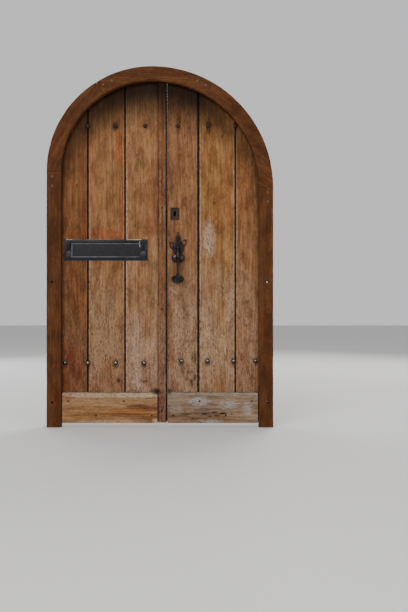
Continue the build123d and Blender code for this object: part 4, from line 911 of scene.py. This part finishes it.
material = Timber("frame_grain", frame_colours, age=0.7).material
frame_runs = {
    "jamb_left": upright,
    "jamb_right": upright,
    "head_left": (sin(radians(31)), 0, cos(radians(31))),
    "head_crown": (1, 0, -0.05),
    "head_right": (-sin(radians(55)), 0, cos(radians(55))),
}
for index, (node, along) in enumerate(frame_runs.items()):
    wooden(node, material, along=along, seed=90 + index, steps=frame_steps,
           play=0.0009, pith=(0.5, 0.07, 0.02))


# Painted highlights along edges of the letter plate and flap: low x, high x, low z, high z, colour
flap_low, flap_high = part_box("letter_flap")
plate_low, plate_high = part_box("letter_plate")
past_edge = 0.001
highlight_blue, highlight_pale, highlight_slate = (110, 112, 124), (150, 152, 164), (70, 70, 84)
highlight_cream, highlight_olive = (192, 180, 150), (118, 110, 92)
flap_left = (flap_low[0] - past_edge, flap_low[0] + 0.0026)
flap_right = (flap_high[0] - 0.0030, flap_high[0] + past_edge)
flap_across = (flap_low[0], flap_high[0])


def plate_top(low_x, high_x, depth, shade):
    """A painted highlight along a stretch of the letter plate's top edge."""
    return (low_x, high_x, plate_high[2] - depth, plate_high[2] + past_edge, shade)


painted_highlight_lines = [
    (*flap_left, flap_low[2], flap_high[2] - 0.008, highlight_blue),
    (*flap_right, flap_high[2] - 0.028, flap_high[2], highlight_pale),
    (*flap_across, flap_high[2] - 0.0125, flap_high[2] - 0.0095, highlight_blue),
    (*flap_across, flap_low[2] + 0.0004, flap_low[2] + 0.0036, highlight_blue),
    plate_top(plate_low[0] + 0.12, plate_low[0] + 0.24, 0.0018, highlight_olive),
    plate_top(plate_high[0] - 0.10, plate_high[0] - 0.03, 0.0030, highlight_cream),
    plate_top(plate_low[0] + 0.01, plate_low[0] + 0.04, 0.0022, highlight_cream),
    (plate_low[0], plate_high[0], plate_low[2] - past_edge, plate_low[2] + 0.0014, highlight_slate),
]

# Finishes of the metal and the pegs, by the slot they fill
finishes = {
    "strap_iron": iron(
        "strap_iron_skin", (30, 28, 28), (50, 46, 45), (78, 42, 22), rusting=0.4
    ),
    # Bolts: painted shade on their rims, and rust with painted shade on those high up
    "bolt_steel": iron(
        "bolt_steel_skin", (88, 80, 72), (150, 140, 128), (52, 28, 16), rusting=0.4,
        rough=(0.14, 0.26), metallic=0.95, rusty_and_shaded_from=1.0,
    ),
    "small_steel": iron(
        "small_steel_skin", (62, 58, 55), (96, 90, 84), (70, 38, 22), rusting=0.3,
        rough=(0.3, 0.5), metallic=0.85,
    ),
    "nail_iron": iron(
        "nail_iron_skin", (30, 22, 18), (46, 34, 28), (58, 30, 17), rusting=0.7
    ),
    # Letter plate paint, with painted highlights along its edges
    "letter_paint": paint(
        "letter_paint_skin", (6, 6, 10), (14, 14, 22), rough=0.34, rubbed=painted_highlight_lines
    ),
    "key_iron": iron(
        "key_iron_skin", (24, 17, 15), (44, 32, 28), (58, 30, 18), rusting=0.6
    ),
    "knocker_iron": iron(
        "knocker_iron_skin", (16, 14, 13), (56, 53, 54), (62, 38, 26), rusting=0.5,
        rough=(0.16, 0.34), metallic=0.85,
    ),
    "lock_paint": paint("lock_paint_skin", (16, 16, 18), (30, 30, 32)),
    "slide_steel": iron(
        "slide_steel_skin", (40, 38, 38), (68, 65, 63), (74, 40, 24), rusting=0.35,
        rough=(0.3, 0.5), metallic=0.8,
    ),
    "peg_wood": end_wood("peg_wood_grain", (104, 66, 38), (56, 30, 15)),
}
screw_paint = paint("screw_paint_skin", (3, 3, 5), (8, 8, 12), rough=0.8, worn=0.1)
bare_edge = iron(
    "bare_edge_skin", (96, 96, 104), (140, 140, 146), (40, 34, 34), rusting=0.3,
    rough=(0.3, 0.5), metallic=0.8,
)


def with_soft_edges(node, width, edge_finish=None):
    """A metal node with its sharp corners rounded by a small width, and rubbed bare if asked."""
    mesh = with_whole_faces(clean_copy(node))
    corners = [edge for edge in mesh.edges if is_corner(edge, metal_corner_angle)]
    rounds = bmesh.ops.bevel(
        mesh, geom=corners, offset=width, segments=2, profile=0.5, affect="EDGES", clamp_overlap=True
    )
    if edge_finish:
        for face in rounds["faces"]:
            face.material_index = 1
    piece = add_piece(f"{node}_soft", mesh, node, finishes[slot_of[node]], metal_smooth_angle)
    if edge_finish:
        piece.data.materials.append(edge_finish)


def flowed_copy(node):
    """A node's shape with its corners flowed together, as a bmesh."""
    data = bpy.data.meshes.new("forging")
    mesh = clean_copy(node)
    mesh.to_mesh(data)
    mesh.free()
    blank = bpy.data.objects.new("forging", data)
    bpy.context.scene.collection.objects.link(blank)
    remesh = blank.modifiers.new("cells", "REMESH")
    remesh.mode = "VOXEL"
    remesh.voxel_size = forged_cell
    smooth = blank.modifiers.new("flow", "SMOOTH")
    smooth.factor = 0.5
    smooth.iterations = 4
    shape = blank.evaluated_get(bpy.context.evaluated_depsgraph_get())
    flowed = bmesh.new()
    flowed.from_mesh(shape.to_mesh())
    bpy.data.objects.remove(blank)
    return flowed


def forged(node):
    """A forged node whose corners have flowed together, with a hammered skin."""
    mesh = flowed_copy(node)
    mesh.normal_update()
    x, y, z = np.array([vertex.co for vertex in mesh.verts]).T
    hits = layered(x * 150 + y * 90, z * 150 - y * 70, 130, 2)
    for vertex, hit in zip(mesh.verts, hits):
        vertex.co -= vertex.normal * (hammer_hollow * hit)
    add_piece(f"{node}_forged", mesh, node, finishes[slot_of[node]], forged_smooth_angle)


with_soft_edges("letter_plate", width=0.0009, edge_finish=bare_edge)
with_soft_edges("letter_flap", width=0.0010, edge_finish=bare_edge)
with_soft_edges("letter_inner_plate", width=0.0006)
for node in ("escutcheon", "lock_case", "lock_keeper", "top_bolt_guide", "foot_bolt_guide",
             "top_bolt_keeper", "top_bolt", "foot_bolt", "left_nuts", "right_nuts"):
    with_soft_edges(node, width=0.0005)
for side in ("left", "right"):
    for height in ("low", "mid"):
        with_soft_edges(f"{side}_strap_{height}", width=0.0009)
        with_soft_edges(f"pintle_{side}_{height}", width=0.0008)
forged("knocker_plate")
forged("knocker_hammer")

# The other nodes of metal and the pegs keep their own shape
for node, piece in frame["nodes"].items():
    if piece.hide_render or slot_of.get(node) not in finishes:
        continue
    finish = screw_paint if node == "letter_screws" else finishes[slot_of[node]]
    piece.data.materials.clear()
    piece.data.materials.append(finish)


# Floor, lights, backdrop and camera
def floor():
    """A pale floor that the frame stands on."""
    bpy.ops.mesh.primitive_plane_add(size=30, location=(0, 0, 0))
    plane = bpy.context.object
    plane.name = "floor"
    skin = Shader("floor_pale")
    tint = skin.noise(skin.coordinates(), 3.0, 2.0)
    skin.set(Base_Color=skin.mix(tint, srgb(197, 196, 194), srgb(200, 199, 197)), Roughness=0.85)
    plane.data.materials.append(skin.material)


def softbox(name, place, aim_height, side, power, warmth):
    """A large square soft light, turned to the door's middle at a height."""
    data = bpy.data.lights.new(name, "AREA")
    data.shape = "RECTANGLE"
    data.size = side
    data.size_y = side
    data.energy = power
    data.color = warmth
    light = bpy.data.objects.new(name, data)
    light.location = place
    aim = Vector((0, 0, aim_height)) - Vector(place)
    light.rotation_euler = aim.to_track_quat("-Z", "Y").to_euler()
    bpy.context.scene.collection.objects.link(light)


def backdrop(colour, strength):
    """An even pale light from all round."""
    world = bpy.data.worlds.new("studio")
    bpy.context.scene.world = world
    world.use_nodes = True
    background = world.node_tree.nodes["Background"]
    background.inputs["Color"].default_value = colour
    background.inputs["Strength"].default_value = strength


def level_camera(place, lens):
    """A camera that looks level and straight at the door's face, as the photo's does."""
    data = bpy.data.cameras.new("camera")
    data.lens = lens
    data.sensor_width = 36
    camera = bpy.data.objects.new("camera", data)
    camera.location = place
    camera.rotation_euler = (pi / 2, 0, 0)
    bpy.context.scene.collection.objects.link(camera)
    bpy.context.scene.camera = camera


warm_light, cool_light = (1.0, 0.98, 0.95), (0.93, 0.96, 1.0)
floor()
softbox("key", place=(-1.6, -3.4, 3.2), aim_height=0.9, side=2.6, power=150, warmth=warm_light)
softbox("fill", place=(2.8, -3.0, 1.6), aim_height=0.8, side=2.2, power=50, warmth=cool_light)
softbox("back_key", place=(2.0, 3.2, 2.8), aim_height=0.9, side=2.6, power=140, warmth=warm_light)
softbox("back_fill", place=(-2.8, 2.8, 1.6), aim_height=0.8, side=2.2, power=70, warmth=cool_light)
backdrop(srgb(236, 236, 238), strength=0.84)
level_camera(place=(0.212, -2.913, 0.584), lens=35)
